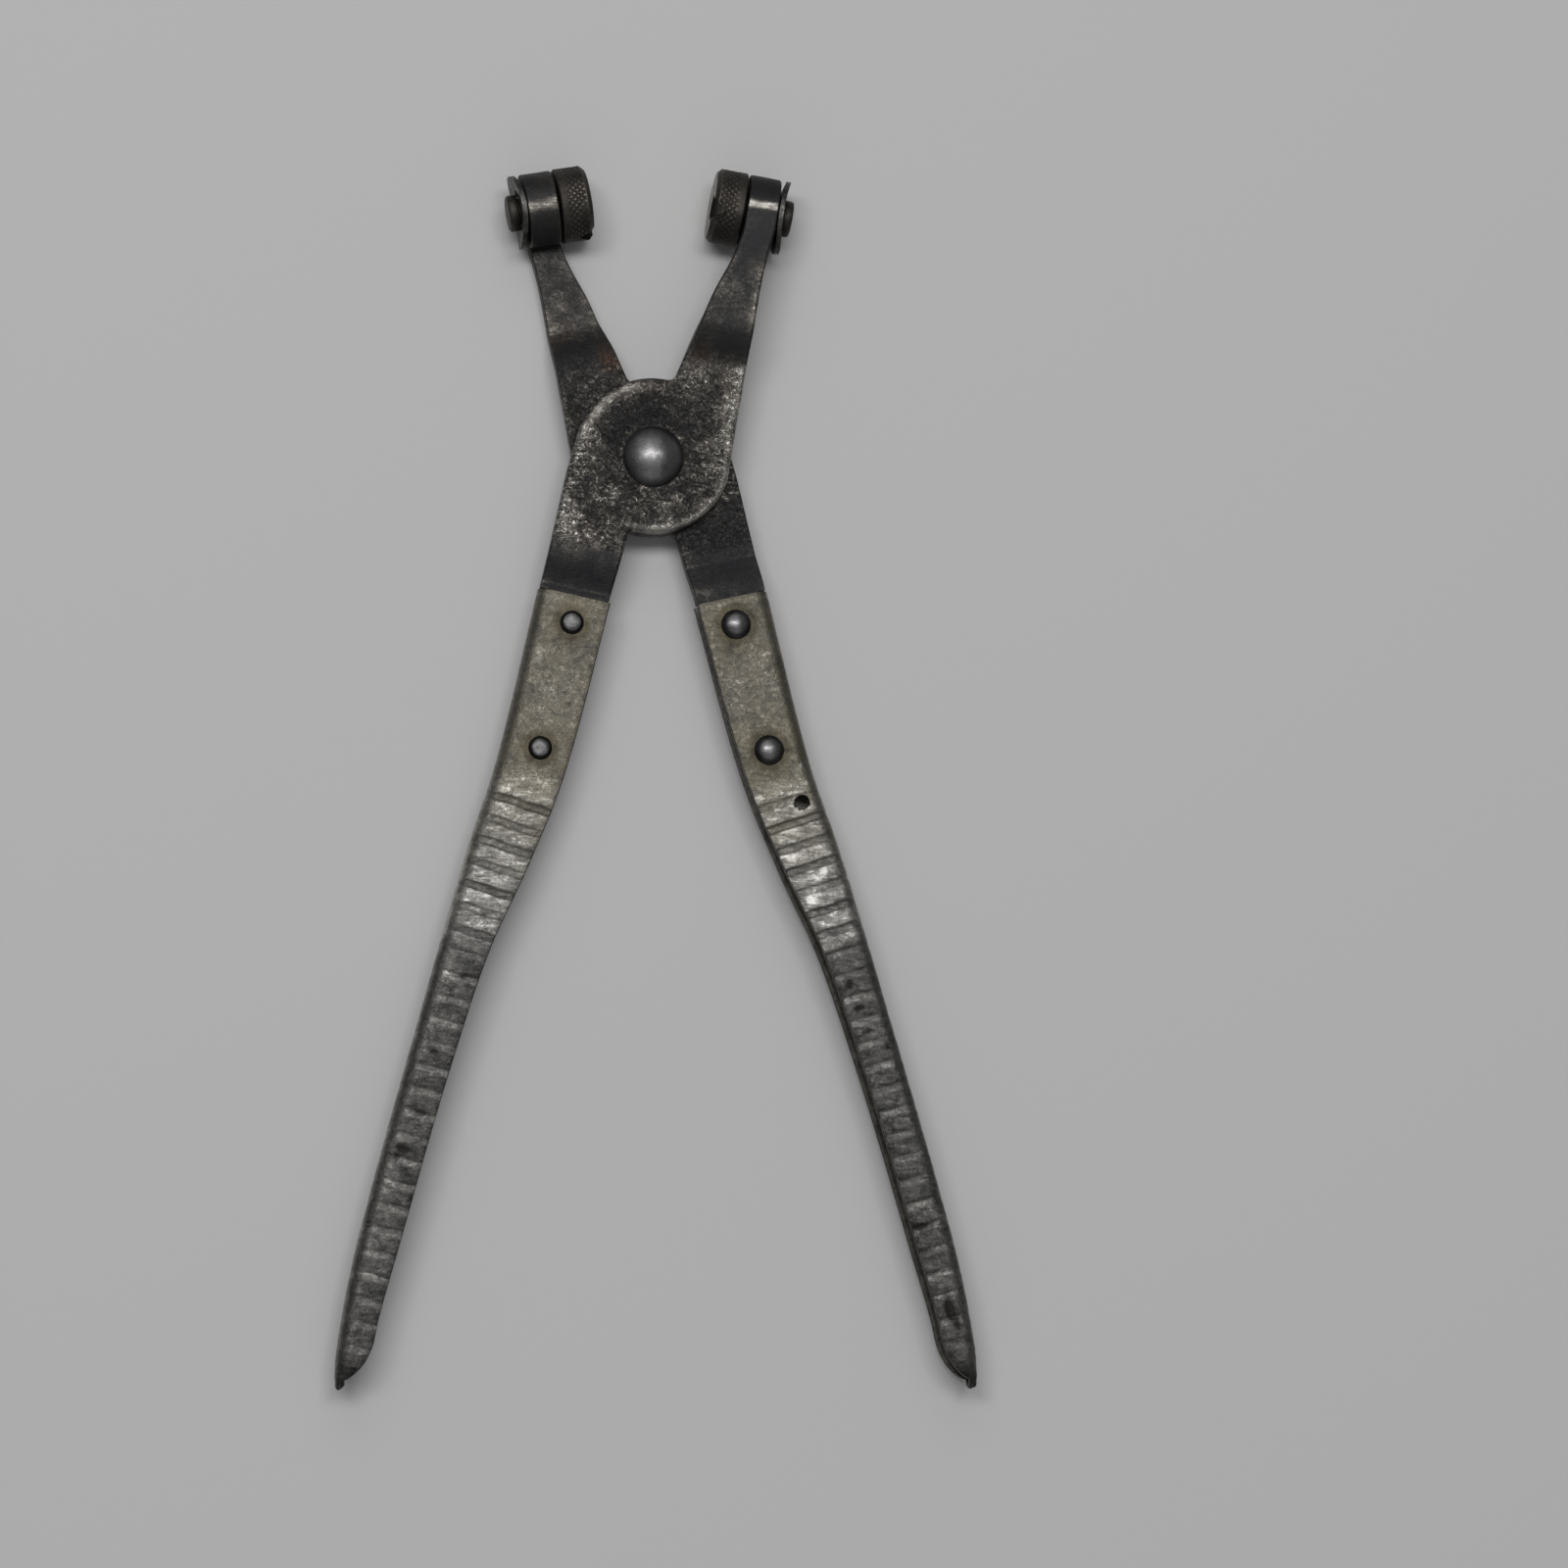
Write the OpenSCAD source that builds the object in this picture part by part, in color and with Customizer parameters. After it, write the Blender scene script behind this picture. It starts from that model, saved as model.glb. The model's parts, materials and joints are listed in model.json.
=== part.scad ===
// Hose clamp pliers: two identical levers crossing at a riveted lap joint,
// sheet channel handles, and a swivelling grooved jaw in a rolled knuckle on each arm.
// Units are millimetres. The tool lies flat, jaws toward +Y, photographed face up.

/* [Pose] */
// angle that each half is swung open from the drawing pose, near closed
half_open = 12.3; // [4:0.1:20]
// gap between the nearest edges of the two jaw faces in the drawing pose
drawn_gap = 1.3; // [0.4:0.05:2]

/* [Fits] */
// radial clearance of every shank and stud in its hole
fit = 0.05; // [0.02:0.01:0.1]
// gap between the two crossing plates
plate_gap = 0.1; // [0.05:0.05:0.3]
// play between a tang and each side of its handle channel
tang_play = 0.05; // [0.02:0.01:0.15]
// play along the stud between knuckle and clip
swivel_play = 0.15; // [0.08:0.01:0.3]
// gap along the stud between jaw head and knuckle
head_gap = 0.4; // [0.15:0.05:0.6]

/* [Lever plate] */
// thickness of the lever plate
plate_t = 3.2; // [2.6:0.1:4]
// radius of the plate disc round the pivot
disc_r = 14; // [12:0.5:16]
// distance of the disc's centre above the pivot
disc_up = 0.4; // [0:0.05:0.8]
// distance above the pivot where the arm starts to joggle outward
joggle_low = 18.5; // [17:0.5:20]
// distance above the pivot where the joggle ends
joggle_high = 27; // [25.5:0.5:29]
// rounding between the arm's inner edge and the disc
arm_fillet = 2.2; // [1:0.1:3]
// rounding between the neck's inner edge and the disc
neck_fillet = 1.5; // [0.8:0.1:2.5]
// offset of the arm's inner edge from the centre line near the disc
arm_root_x = 1.7; // [0.8:0.05:2.5]
// offset of the arm's inner edge where it starts to narrow
arm_mid_x = 4.35; // [3.5:0.05:5]
// height of that point above the pivot
arm_mid_y = 31.8; // [30:0.2:33]
// offset of the arm's inner edge just below the knuckle
arm_top_x = 6.15; // [5.6:0.05:6.6]
// height of that point above the pivot
arm_top_y = 38; // [37:0.2:39]
// length below the stud axis over which the arm's inner edge lines up with the knuckle
arm_parallel = 4.4; // [3:0.2:6]
// offset of the arm's outer edge beside the joggle
side_low_x = 12.85; // [12.4:0.05:13.2]
// height of that point above the pivot
side_low_y = 22; // [20:0.5:24]
// offset of the arm's outer edge where it is slimmest
side_top_x = 12.25; // [11.9:0.05:12.7]
// height of that point above the pivot
side_top_y = 35; // [33:0.5:37]
// length below the stud axis over which the arm's outer edge lines up with the knuckle
side_parallel = 3.2; // [2.6:0.2:5]

/* [Neck and tang] */
// offset of the neck's inner edge at the disc
neck_in_top = 1.4; // [1:0.1:2.5]
// offset of the neck's inner edge at the handle mouth
neck_in_low = 2.2; // [1.6:0.1:3]
// offset of the neck's outer edge at the handle mouth
neck_out_low = 14.6; // [13.5:0.1:15]
// distance below the pivot where the neck starts to bend to the middle plane
neck_bend_start = 19.6; // [18.5:0.2:20.5]
// distance from the end of that bend to the handle mouth
neck_bend_rest = 1; // [0.6:0.1:2]
// distance below the pivot of the tang's end
tang_end = 61.5; // [60:0.5:63]
// margin between the tang's inner edge and the handle's open edge
tang_inset = 0.9; // [0.6:0.1:1.8]
// bevel on the corners of the tang's end
tang_bevel = 2.6; // [1.5:0.1:3.5]

/* [Knuckle and swivel jaw] */
// height of the jaw face centre above the pivot
jaw_y = 48.1; // [46.5:0.1:51]
// tilt of the stud axis from square, so that the jaw tips meet first
jaw_tilt = 2.4; // [0:0.1:4]
// radius of the jaw head
head_r = 6.7; // [6.2:0.05:7.2]
// length of the jaw head
head_len = 5.6; // [5:0.1:7]
// bevel round the jaw face
head_bevel = 0.8; // [0.4:0.05:1.2]
// small bevel round the back of the jaw head
back_bevel = 0.25; // [0.1:0.05:0.4]
// width of the groove across the jaw face
groove_w = 3.6; // [2.4:0.1:4.2]
// depth of the groove across the jaw face
groove_d = 2.5; // [1.6:0.1:3]
// rounding at the bottom of that groove
groove_root_r = 0.4; // [0.2:0.05:0.5]
// turn of the right jaw about its stud
right_turn = 17; // [-180:1:180]
// turn of the left jaw about its stud
left_turn = 100; // [-180:1:180]
// radius of the stud in the knuckle
stud_r = 3.35; // [2.8:0.05:3.6]
// length of the rolled knuckle along the stud
knuckle_len = 5.6; // [5:0.1:7]
// rounding of the knuckle's end edges
knuckle_bevel = 0.3; // [0.1:0.05:0.5]
// width of the slit where the rolled strip meets the arm
seam = 0.2; // [0.1:0.05:0.4]

/* [Retaining clip] */
// outside radius of the clip
clip_r = 6.6; // [6:0.05:7]
// thickness of the clip
clip_t = 0.8; // [0.6:0.05:1]
// radius to which the clip is bowed
bow_r = 24; // [20:1:40]
// radius of the stud at the bottom of the clip groove
clip_seat_r = 2.5; // [2.1:0.05:2.8]
// width of the clip's open mouth
clip_mouth = 4.6; // [3.5:0.1:4.8]
// radius of the two relief lobes inside the clip
clip_lobe_r = 1.3; // [0.8:0.05:1.5]
// distance of the relief lobes from the stud axis
clip_lobe_at = 3.3; // [3:0.05:3.5]
// length of the button on the stud's end
button_len = 1.8; // [1.4:0.1:3]
// radius of the button on the stud's end
button_r = 3.25; // [2.9:0.05:3.6]
// bevel round the button's end
button_bevel = 0.4; // [0.2:0.05:0.6]

/* [Pivot rivet] */
// radius of the pivot shank
pivot_r = 3.5; // [3:0.1:4.5]
// radius of the domed pivot head
dome_r = 5.4; // [4.8:0.1:6.5]
// height of the domed pivot head
dome_h = 2.9; // [2:0.1:3.3]
// straight rim under the dome
dome_rim = 0.4; // [0.2:0.1:0.6]
// radius of the formed head at the back
formed_r = 5.2; // [4.8:0.1:6.2]
// height of the formed head at the back
formed_h = 2.2; // [1.6:0.1:2.8]

/* [Channel handle] */
// sheet thickness of the channel
wall = 1.1; // [0.8:0.05:1.3]
// distance below the pivot of the handle mouth
mouth = 27.5; // [26.5:0.5:28.5]
// distance below the pivot of the handle's end
handle_end = 173.2; // [165:0.2:185]
// outer edge offset at the mouth
out_mouth = 14.9; // [14.6:0.1:16]
// outer edge offset at the waist, below the second rivet
out_waist = 15.6; // [15.3:0.1:16.5]
// outer edge offset half way along the flare
out_flare = 17.3; // [16.8:0.1:17.8]
// outer edge offset where the grip begins
out_grip = 18.9; // [18.3:0.1:20.5]
// outer edge offset at the belly of the grip
out_belly = 21.5; // [20.8:0.1:23]
// outer edge offset near the toe
out_toe = 21.1; // [20.5:0.1:22.5]
// outer edge offset at the very end
out_end = 20.1; // [19.5:0.1:21.5]
// channel width at the mouth
w_mouth = 13.0; // [12.2:0.1:13.2]
// channel width at the waist
w_waist = 12.2; // [11.4:0.1:12.6]
// channel width half way along the flare
w_flare = 11.0; // [9.8:0.1:11.4]
// channel width where the grip begins
w_grip = 8.5; // [7.8:0.1:9.2]
// channel width in the middle of the grip
w_palm = 7.5; // [7:0.1:8.2]
// channel width at the belly
w_belly = 7.0; // [6.5:0.1:7.6]
// channel width where the toe begins to round off
w_toe = 6.1; // [5.6:0.1:6.6]
// channel width left at the very end
w_end = 1.6; // [1.4:0.1:2]
// length of the narrow nub at the toe's end
toe_nub = 1.5; // [1:0.1:2.5]
// how much shorter one flange is than the other
flange_step = 0.6; // [0.4:0.1:1.2]
// outside radius of the two bends along the spine
bend_r = 2.4; // [2:0.1:2.6]
// depth of the channel in the grip
grip_depth = 7.8; // [7:0.1:9]
// depth of the channel at the toe
toe_depth = 6.4; // [5.8:0.1:7]

/* [Grip grooves] */
// distance below the pivot of the first grip groove
groove_start = 67.4; // [67:0.1:72]
// spacing of the grip grooves
groove_pitch = 4.05; // [3.4:0.1:5]
// number of grip grooves
groove_count = 26; // [10:1:28]
// width of a grip groove
groove_open = 1.7; // [1.2:0.1:2.2]
// depth of a grip groove
groove_deep = 0.35; // [0.15:0.05:0.45]

/* [Handle rivets] */
// radius of the handle rivet shanks
rivet_r = 1.6; // [1.2:0.1:1.9]
// radius of the handle rivets' factory heads
rivet_head_r = 2.65; // [2.3:0.05:3]
// height of those heads
rivet_head_h = 1.5; // [1:0.1:2]
// radius of the handle rivets' formed heads
rivet_tail_r = 2.1; // [2:0.05:2.6]
// height of the formed heads
rivet_tail_h = 1.2; // [0.8:0.1:1.6]
// upper rivet, distance below the pivot
rivet1_y = 32.4; // [31.5:0.1:34]
// upper rivet, distance from the centre line
rivet1_x = 7.9; // [7:0.1:9]
// lower rivet, distance below the pivot
rivet2_y = 55.6; // [54.5:0.1:56]
// lower rivet, distance from the centre line
rivet2_x = 8.7; // [8:0.1:9.5]
// radius of the small hole in the short flange
tether_r = 1.3; // [1:0.05:1.4]
// small hole, distance below the pivot
tether_y = 65.9; // [65:0.1:66]
// small hole, distance from the centre line
tether_x = 12.4; // [11.5:0.1:13]

/* [Hidden] */
$fn = 64;
steel = [0.36, 0.35, 0.34];
plate_steel = [0.62, 0.6, 0.55];
bright = [0.7, 0.7, 0.72];

// stations along one half, all measured from the pivot
knuckle_r = stud_r + fit + plate_t;
plate_z = plate_gap / 2 + plate_t / 2;
arm_z = knuckle_r - plate_t / 2;
neck_bend_end = mouth - neck_bend_rest;
face_x = drawn_gap / 2 + (head_r - head_bevel) * sin(jaw_tilt);
knuckle_in = head_len + head_gap;
knuckle_out = knuckle_in + knuckle_len;
clip_in = knuckle_out + swivel_play;
seat_sag = bow_r - sqrt(bow_r * bow_r - clip_seat_r * clip_seat_r);
seat_end = clip_in + clip_t + seat_sag + swivel_play;
stud_end = seat_end + button_len;
jaw_dir = [cos(jaw_tilt), sin(jaw_tilt)];
jaw_down = [sin(jaw_tilt), -cos(jaw_tilt)];
face_c = [face_x, jaw_y];

// channel stations and depths
waist = rivet2_y + rivet_head_r + 0.4;
grip_at = 93;
flare_mid = (waist + grip_at) / 2;
palm_at = 115;
belly_at = 148;
toe_at = handle_end - 12.2;
mouth_depth = plate_t + 2 * tang_play + 2 * wall;

// small helpers on lists of points and smooth steps
function ease(t) = t <= 0 ? 0 : t >= 1 ? 1 : t * t * (3 - 2 * t);
function ease_slope(t) = t <= 0 || t >= 1 ? 0 : 6 * t * (1 - t);
function seg(t, k, i = 0) = i >= len(k) - 2 || t < k[i + 1][0] ? i : seg(t, k, i + 1);
function knot_slope(k, i) = let (a = max(i - 1, 0), b = min(i + 1, len(k) - 1))
    (k[b][1] - k[a][1]) / (k[b][0] - k[a][0]);
function hermite(t, h, a, b, ma, mb) = a * (1 - 3 * t * t + 2 * t * t * t)
    + ma * h * (t - 2 * t * t + t * t * t)
    + b * (3 * t * t - 2 * t * t * t)
    + mb * h * (t * t * t - t * t);
function spline(s, k) = let (i = seg(s, k), h = k[i + 1][0] - k[i][0], t = (s - k[i][0]) / h)
    hermite(t, h, k[i][1], k[i + 1][1], knot_slope(k, i), knot_slope(k, i + 1));

// mid-plane height of the lever strip at a distance v above the pivot
function arm_rise(v) = (v - joggle_low) / (joggle_high - joggle_low);
function neck_fall(v) = (-v - neck_bend_start) / (neck_bend_end - neck_bend_start);
function strip_z(v) = v > 0 ? plate_z + (arm_z - plate_z) * ease(arm_rise(v))
    : plate_z * (1 - ease(neck_fall(v)));
function strip_slope(v) = v > 0
    ? (arm_z - plate_z) * ease_slope(arm_rise(v)) / (joggle_high - joggle_low)
    : plate_z * ease_slope(neck_fall(v)) / (neck_bend_end - neck_bend_start);
function strip_pt(v, side) = let (m = strip_slope(v), n = sqrt(1 + m * m))
    [v - side * plate_t / 2 * m / n, strip_z(v) + side * plate_t / 2 / n];

// handle edges, as distances from the centre line at a distance d below the pivot
out_knots = [[mouth, out_mouth], [waist, out_waist], [flare_mid, out_flare], [100, out_grip],
    [belly_at, out_belly], [handle_end - 7.2, out_toe], [handle_end, out_end]];
w_knots = [[mouth, w_mouth], [waist, w_waist], [flare_mid, w_flare], [grip_at, w_grip],
    [palm_at, w_palm], [belly_at, w_belly], [toe_at, w_toe]];
function toe_t(d) = min(1, max(0, (d - toe_at) / (handle_end - toe_nub - toe_at)));
function edge_out(d) = spline(d, out_knots);
function handle_w(d) = d < toe_at ? spline(d, w_knots)
    : w_end + (w_toe - w_end) * (1 - pow(toe_t(d), 3));
function handle_depth(d) = mouth_depth + (grip_depth - mouth_depth) * ease((d - waist) / (grip_at - waist))
    - (grip_depth - toe_depth) * toe_t(d) * toe_t(d);
function lean(d) = 0.07 * ease((d - waist) / (grip_at - waist));

// point where a fillet circle of radius f meets the disc's outside and an edge line
disc_c = [0, disc_up];
function line_n(a, b, s) = let (u = (b - a) / norm(b - a)) s * [-u[1], u[0]];
function fillet_c(a, b, s, f) = let (n = line_n(a, b, s), u = (b - a) / norm(b - a), d = n * (a - disc_c))
    disc_c + (d + f) * n + sqrt(pow(disc_r + f, 2) - pow(d + f, 2)) * u;
function in_disc(c) = disc_c + (c - disc_c) * 0.96 * disc_r / norm(c - disc_c);

arm_a = [arm_root_x, 19];
arm_b = [arm_mid_x, arm_mid_y];
arm_c = fillet_c(arm_a, arm_b, 1, arm_fillet);
arm_t = arm_c - arm_fillet * line_n(arm_a, arm_b, 1);
neck_a = [-neck_in_top, -disc_r];
neck_b = [-neck_in_low, 0.3 - mouth];
neck_c = fillet_c(neck_a, neck_b, 1, neck_fillet);
neck_t = neck_c - neck_fillet * line_n(neck_a, neck_b, 1);
kn_in = face_c + knuckle_in * jaw_dir;
kn_out = face_c + knuckle_out * jaw_dir;
in_low = kn_in + arm_parallel * jaw_down;
out_low = kn_out + side_parallel * jaw_down;
edge_knots = [[arm_a[1], arm_a[0]], [(arm_a[1] + arm_mid_y) / 2, (arm_root_x + arm_mid_x) / 2],
    [arm_mid_y, arm_mid_x], [arm_top_y, arm_top_x], [in_low[1], in_low[0]], [kn_in[1], kn_in[0]]];

// points of a fillet, from the disc round to the edge line
function fillet_pts(c, t) = let (a = atan2(disc_c[1] - c[1], disc_c[0] - c[0]),
    b = atan2(t[1] - c[1], t[0] - c[0]),
    s = b - a > 180 ? b - a - 360 : b - a < -180 ? b - a + 360 : b - a)
    [for (i = [0 : 8]) c + norm(t - c) * [cos(a + s * i / 8), sin(a + s * i / 8)]];
function tang_inner(d) = edge_out(d) - handle_w(d) + flange_step + tang_inset;
function tang_outer(d) = edge_out(d) - bend_r - 0.1;
function edge_pt(v) = [spline(v, edge_knots), v];
arm_pts = [for (i = [0 : 18]) edge_pt(arm_a[1] + i * (in_low[1] - arm_a[1]) / 18)];
side_knots = [[-1, disc_r - 0.1], [side_low_y, side_low_x], [side_top_y, side_top_x],
    [out_low[1], out_low[0]]];
side_pts = [for (i = [18 : -1 : 0]) let (v = i * (out_low[1] + 1) / 18 - 1) [spline(v, side_knots), v]];
shoulder = mouth - 0.3;
tang_pts = [[-neck_in_low, -shoulder], [-tang_inner(mouth), -shoulder],
    [-tang_inner(tang_end), tang_bevel - tang_end], [-tang_inner(tang_end) - tang_bevel, -tang_end],
    [tang_bevel - tang_outer(tang_end), -tang_end], [-tang_outer(tang_end), tang_bevel - tang_end],
    [-tang_outer(mouth), -shoulder], [-neck_out_low, -shoulder], [0.1 - disc_r, -1]];

// outline of one lever seen from the front, closed pose, arm to the right
module lever_outline() {
    translate(disc_c) circle(r = disc_r, $fn = 128);
    polygon(concat([in_disc(arm_c)], fillet_pts(arm_c, arm_t), arm_pts,
        [kn_in, kn_out], side_pts, [in_disc(neck_c)], fillet_pts(neck_c, neck_t), tang_pts));
}

// side profile of the strip from tang end to knuckle axis
module strip_profile() {
    up = [for (i = [0 : 16]) joggle_low + i * (joggle_high - joggle_low) / 16];
    down = [for (i = [0 : 12]) -neck_bend_end + i * (neck_bend_end - neck_bend_start) / 12];
    vs = concat([-tang_end - 1], down, up, [jaw_y + knuckle_out * sin(jaw_tilt)]);
    n = len(vs) - 1;
    polygon(concat([for (v = vs) strip_pt(v, 1)], [for (i = [n : -1 : 0]) strip_pt(vs[i], -1)]));
}

// local frame of a jaw: +Z runs from the face outward along the stud
module jaw_frame() {
    translate([face_c[0], face_c[1], 0]) rotate([0, 0, jaw_tilt]) rotate([0, 90, 0]) children();
}

module lever_half() {
    difference() {
        union() {
            intersection() {
                linear_extrude(height = 4 * head_r, center = true) lever_outline();
                rotate([90, 0, 90]) linear_extrude(height = 80, center = true) strip_profile();
            }
            jaw_frame() translate([0, 0, knuckle_in]) knuckle_ring();
        }
        jaw_frame() cylinder(r = stud_r + fit, h = stud_end);
        jaw_frame() knuckle_slit();
        cylinder(r = pivot_r + fit, h = 20, center = true);
        translate([-rivet1_x, -rivet1_y, 0]) cylinder(r = rivet_r + fit, h = 20, center = true);
        translate([-rivet2_x, -rivet2_y, 0]) cylinder(r = rivet_r + fit, h = 20, center = true);
    }
}

module knuckle_ring() {
    rotate_extrude($fn = 96) polygon([[stud_r, 0], [knuckle_r - knuckle_bevel, 0], [knuckle_r, knuckle_bevel],
        [knuckle_r, knuckle_len - knuckle_bevel], [knuckle_r - knuckle_bevel, knuckle_len],
        [stud_r, knuckle_len]]);
}

// slit between the rolled end and the arm, on the back of the arm
module knuckle_slit() {
    crease = sqrt(pow(knuckle_r, 2) - pow(knuckle_r - plate_t, 2));
    translate([plate_t - knuckle_r - seam / 2, -crease - seam, knuckle_in - 1])
        cube([seam, crease, knuckle_len + 2]);
}

module jaw_body(turn) {
    difference() {
        rotate_extrude($fn = 96) polygon([[0, 0], [head_r - head_bevel, 0], [head_r, head_bevel],
            [head_r, head_len - back_bevel], [head_r - back_bevel, head_len], [stud_r, head_len],
            [stud_r, clip_in - swivel_play / 2], [clip_seat_r, clip_in - swivel_play / 2],
            [clip_seat_r, seat_end],
            [button_r, seat_end], [button_r, stud_end - button_bevel], [button_r - button_bevel, stud_end],
            [0, stud_end]]);
        rotate([0, 0, turn]) face_groove();
    }
}

// V groove with a rounded bottom, along the local X axis
module face_groove() {
    half = atan(groove_w / 2 / groove_d);
    root = groove_d - groove_root_r;
    side = [groove_root_r * cos(half), root + groove_root_r * sin(half)];
    open = side[0] + (side[1] + 1) * tan(half);
    rotate([90, 0, 90]) linear_extrude(height = 3 * head_r, center = true) union() {
        polygon([[-open, -1], [open, -1], side, [-side[0], side[1]]]);
        translate([0, root]) circle(r = groove_root_r, $fn = 32);
    }
}

// bowed E clip: part of a cylindrical shell, cut to the flat outline
module clip_body() {
    intersection() {
        translate([0, 0, clip_in + bow_r + clip_t]) rotate([0, 90, 0]) difference() {
            cylinder(r = bow_r + clip_t, h = 3 * clip_r, center = true, $fn = 256);
            cylinder(r = bow_r, h = 4 * clip_r, center = true, $fn = 256);
        }
        translate([0, 0, knuckle_out]) linear_extrude(height = bow_r) clip_outline();
    }
}

module clip_outline() {
    difference() {
        circle(r = clip_r, $fn = 96);
        circle(r = clip_seat_r + fit);
        translate([0, -clip_mouth / 2]) square([2 * clip_r, clip_mouth]);
        rotate(135) translate([clip_lobe_at, 0]) circle(r = clip_lobe_r, $fn = 32);
        rotate(-135) translate([clip_lobe_at, 0]) circle(r = clip_lobe_r, $fn = 32);
    }
}

module dome(r, h, rim) {
    cap = h - rim;
    ball = (r * r + cap * cap) / (2 * cap);
    intersection() {
        translate([0, 0, h - ball]) sphere(r = ball, $fn = 96);
        cylinder(r = r, h = h + 1);
    }
}

// rings of the channel section at a distance d below the pivot, for the half with its handle on the left
function groove_dip(d) = let (i = round((d - groove_start) / groove_pitch),
    o = abs(d - groove_start - i * groove_pitch))
    i < 0 || i > groove_count - 1 ? 0 : groove_deep * (1 - ease((o / groove_open * 2 - 0.3) / 0.7));
function arc(cx, cz, r, a0, a1, n) = [for (i = [0 : n]) let (a = a0 + (a1 - a0) * i / n)
    [cx + r * cos(a), cz + r * sin(a)]];
function ring_uv(d) = let (g = groove_dip(d), o = edge_out(d), h = handle_depth(d) / 2, w = handle_w(d),
        lo = max(o - w, 0), st = flange_step * (1 - 0.7 * toe_t(d)), r = min(bend_r, w * 0.7),
        q = max(r - wall, 0.15),
        inner = max(o - wall - q, lo + st + 0.06) + q)
    concat([[lo, h - g]], arc(o - r, h - r, r - g, 90, 0, 6), arc(o - r, r - h, r - g, 0, -90, 6),
        [[lo + st, g - h]], [[lo + st, wall - h]], arc(inner - q, wall + q - h, q, -90, 0, 3),
        arc(inner - q, h - wall - q, q, 0, 90, 3),
        [[lo, h - wall]]);
function ring(d) = let (c = edge_out(d) - handle_w(d) / 2, k = lean(d))
    [for (p = ring_uv(d)) [-p[0], k * (p[0] - c) - d, p[1]]];

// stations: coarse on the plain stretch, four to each groove
groove_offs = [-0.5, -0.15, 0.15, 0.5];
plain_d = concat([mouth, waist - 0.6],
    [for (i = [0 : 2]) waist + 0.2 + i * (groove_start - groove_open - waist - 0.2) / 2]);
grooved_d = [for (i = [0 : groove_count - 1]) for (o = groove_offs) groove_start + i * groove_pitch + o * groove_open];
last_groove = groove_start + (groove_count - 1) * groove_pitch + groove_open / 2;
end_d = [for (i = [1 : 4]) last_groove + i * (handle_end - last_groove) / 4];
handle_d = concat(plain_d, grooved_d, end_d);

module channel() {
    rings = [for (d = handle_d) ring(d)];
    m = len(rings[0]);
    n = len(rings);
    pts = [for (r = rings) for (p = r) p];
    sides = [for (i = [0 : n - 2]) for (j = [0 : m - 1]) let (k = (j + 1) % m)
        each [[i * m + j, i * m + k, (i + 1) * m + k], [i * m + j, (i + 1) * m + k, (i + 1) * m + j]]];
    polyhedron(points = pts, faces = concat(sides, [[for (j = [m - 1 : -1 : 0]) j]],
        [[for (j = [0 : m - 1]) (n - 1) * m + j]]));
}

module handle_half() {
    difference() {
        channel();
        translate([-rivet1_x, -rivet1_y, 0]) cylinder(r = rivet_r + fit, h = 20, center = true);
        translate([-rivet2_x, -rivet2_y, 0]) cylinder(r = rivet_r + fit, h = 20, center = true);
        translate([-tether_x, -tether_y, -10]) cylinder(r = tether_r, h = 10);
    }
}

// handle rivet in the same half: factory head on the short flange's side
module rivet_half(x, y) {
    translate([-x, -y, 0]) {
        cylinder(r = rivet_r, h = mouth_depth + 0.2, center = true);
        translate([0, 0, mouth_depth / 2]) dome(rivet_tail_r, rivet_tail_h, 0.2);
        mirror([0, 0, 1]) translate([0, 0, mouth_depth / 2]) dome(rivet_head_r, rivet_head_h, 0.2);
    }
}

// placing: the pivot stands over the origin of the closed frame
head_c = rest_pt(face_c);
head_up = half_open - jaw_tilt;
top_y = head_c[1] + head_r * cos(head_up) - head_bevel * sin(head_up);
function rest_pt(p) = [p[0] * cos(half_open) + p[1] * sin(half_open), p[1] * cos(half_open) - p[0] * sin(half_open)];
low_y = min([for (d = handle_d) for (p = ring(d)) p[1] * cos(half_open) - p[0] * sin(half_open)]);
pivot_at = [0, -(top_y + low_y) / 2, max(head_r, clip_r)];

module front() {
    translate(pivot_at) rotate([0, 0, -half_open]) children();
}

module rear() {
    translate(pivot_at) rotate([0, 0, half_open]) rotate([0, 180, 0]) children();
}

module front_lever() {
    color(steel) front() lever_half();
}

module rear_lever() {
    color(steel) rear() lever_half();
}

module left_handle() {
    color(plate_steel) front() handle_half();
}

module right_handle() {
    color(plate_steel) rear() handle_half();
}

module left_upper_rivet() {
    color(bright) front() rivet_half(rivet1_x, rivet1_y);
}

module left_lower_rivet() {
    color(bright) front() rivet_half(rivet2_x, rivet2_y);
}

module right_upper_rivet() {
    color(bright) rear() rivet_half(rivet1_x, rivet1_y);
}

module right_lower_rivet() {
    color(bright) rear() rivet_half(rivet2_x, rivet2_y);
}

// the pivot rivet is fast in the front lever
module pivot_rivet() {
    stack = plate_gap / 2 + plate_t;
    color(bright) front() {
        cylinder(r = pivot_r, h = 2 * stack + plate_gap + 0.2, center = true);
        translate([0, 0, stack]) dome(dome_r, dome_h, dome_rim);
        mirror([0, 0, 1]) translate([0, 0, stack + plate_gap / 2]) dome(formed_r, formed_h, dome_rim);
    }
}

module right_swivel_jaw() {
    color(steel) front() jaw_frame() jaw_body(right_turn);
}

module left_swivel_jaw() {
    color(steel) rear() jaw_frame() jaw_body(left_turn);
}

module right_retaining_clip() {
    color(bright) front() jaw_frame() clip_body();
}

module left_retaining_clip() {
    color(bright) rear() jaw_frame() mirror([1, 0, 0]) clip_body();
}

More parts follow.
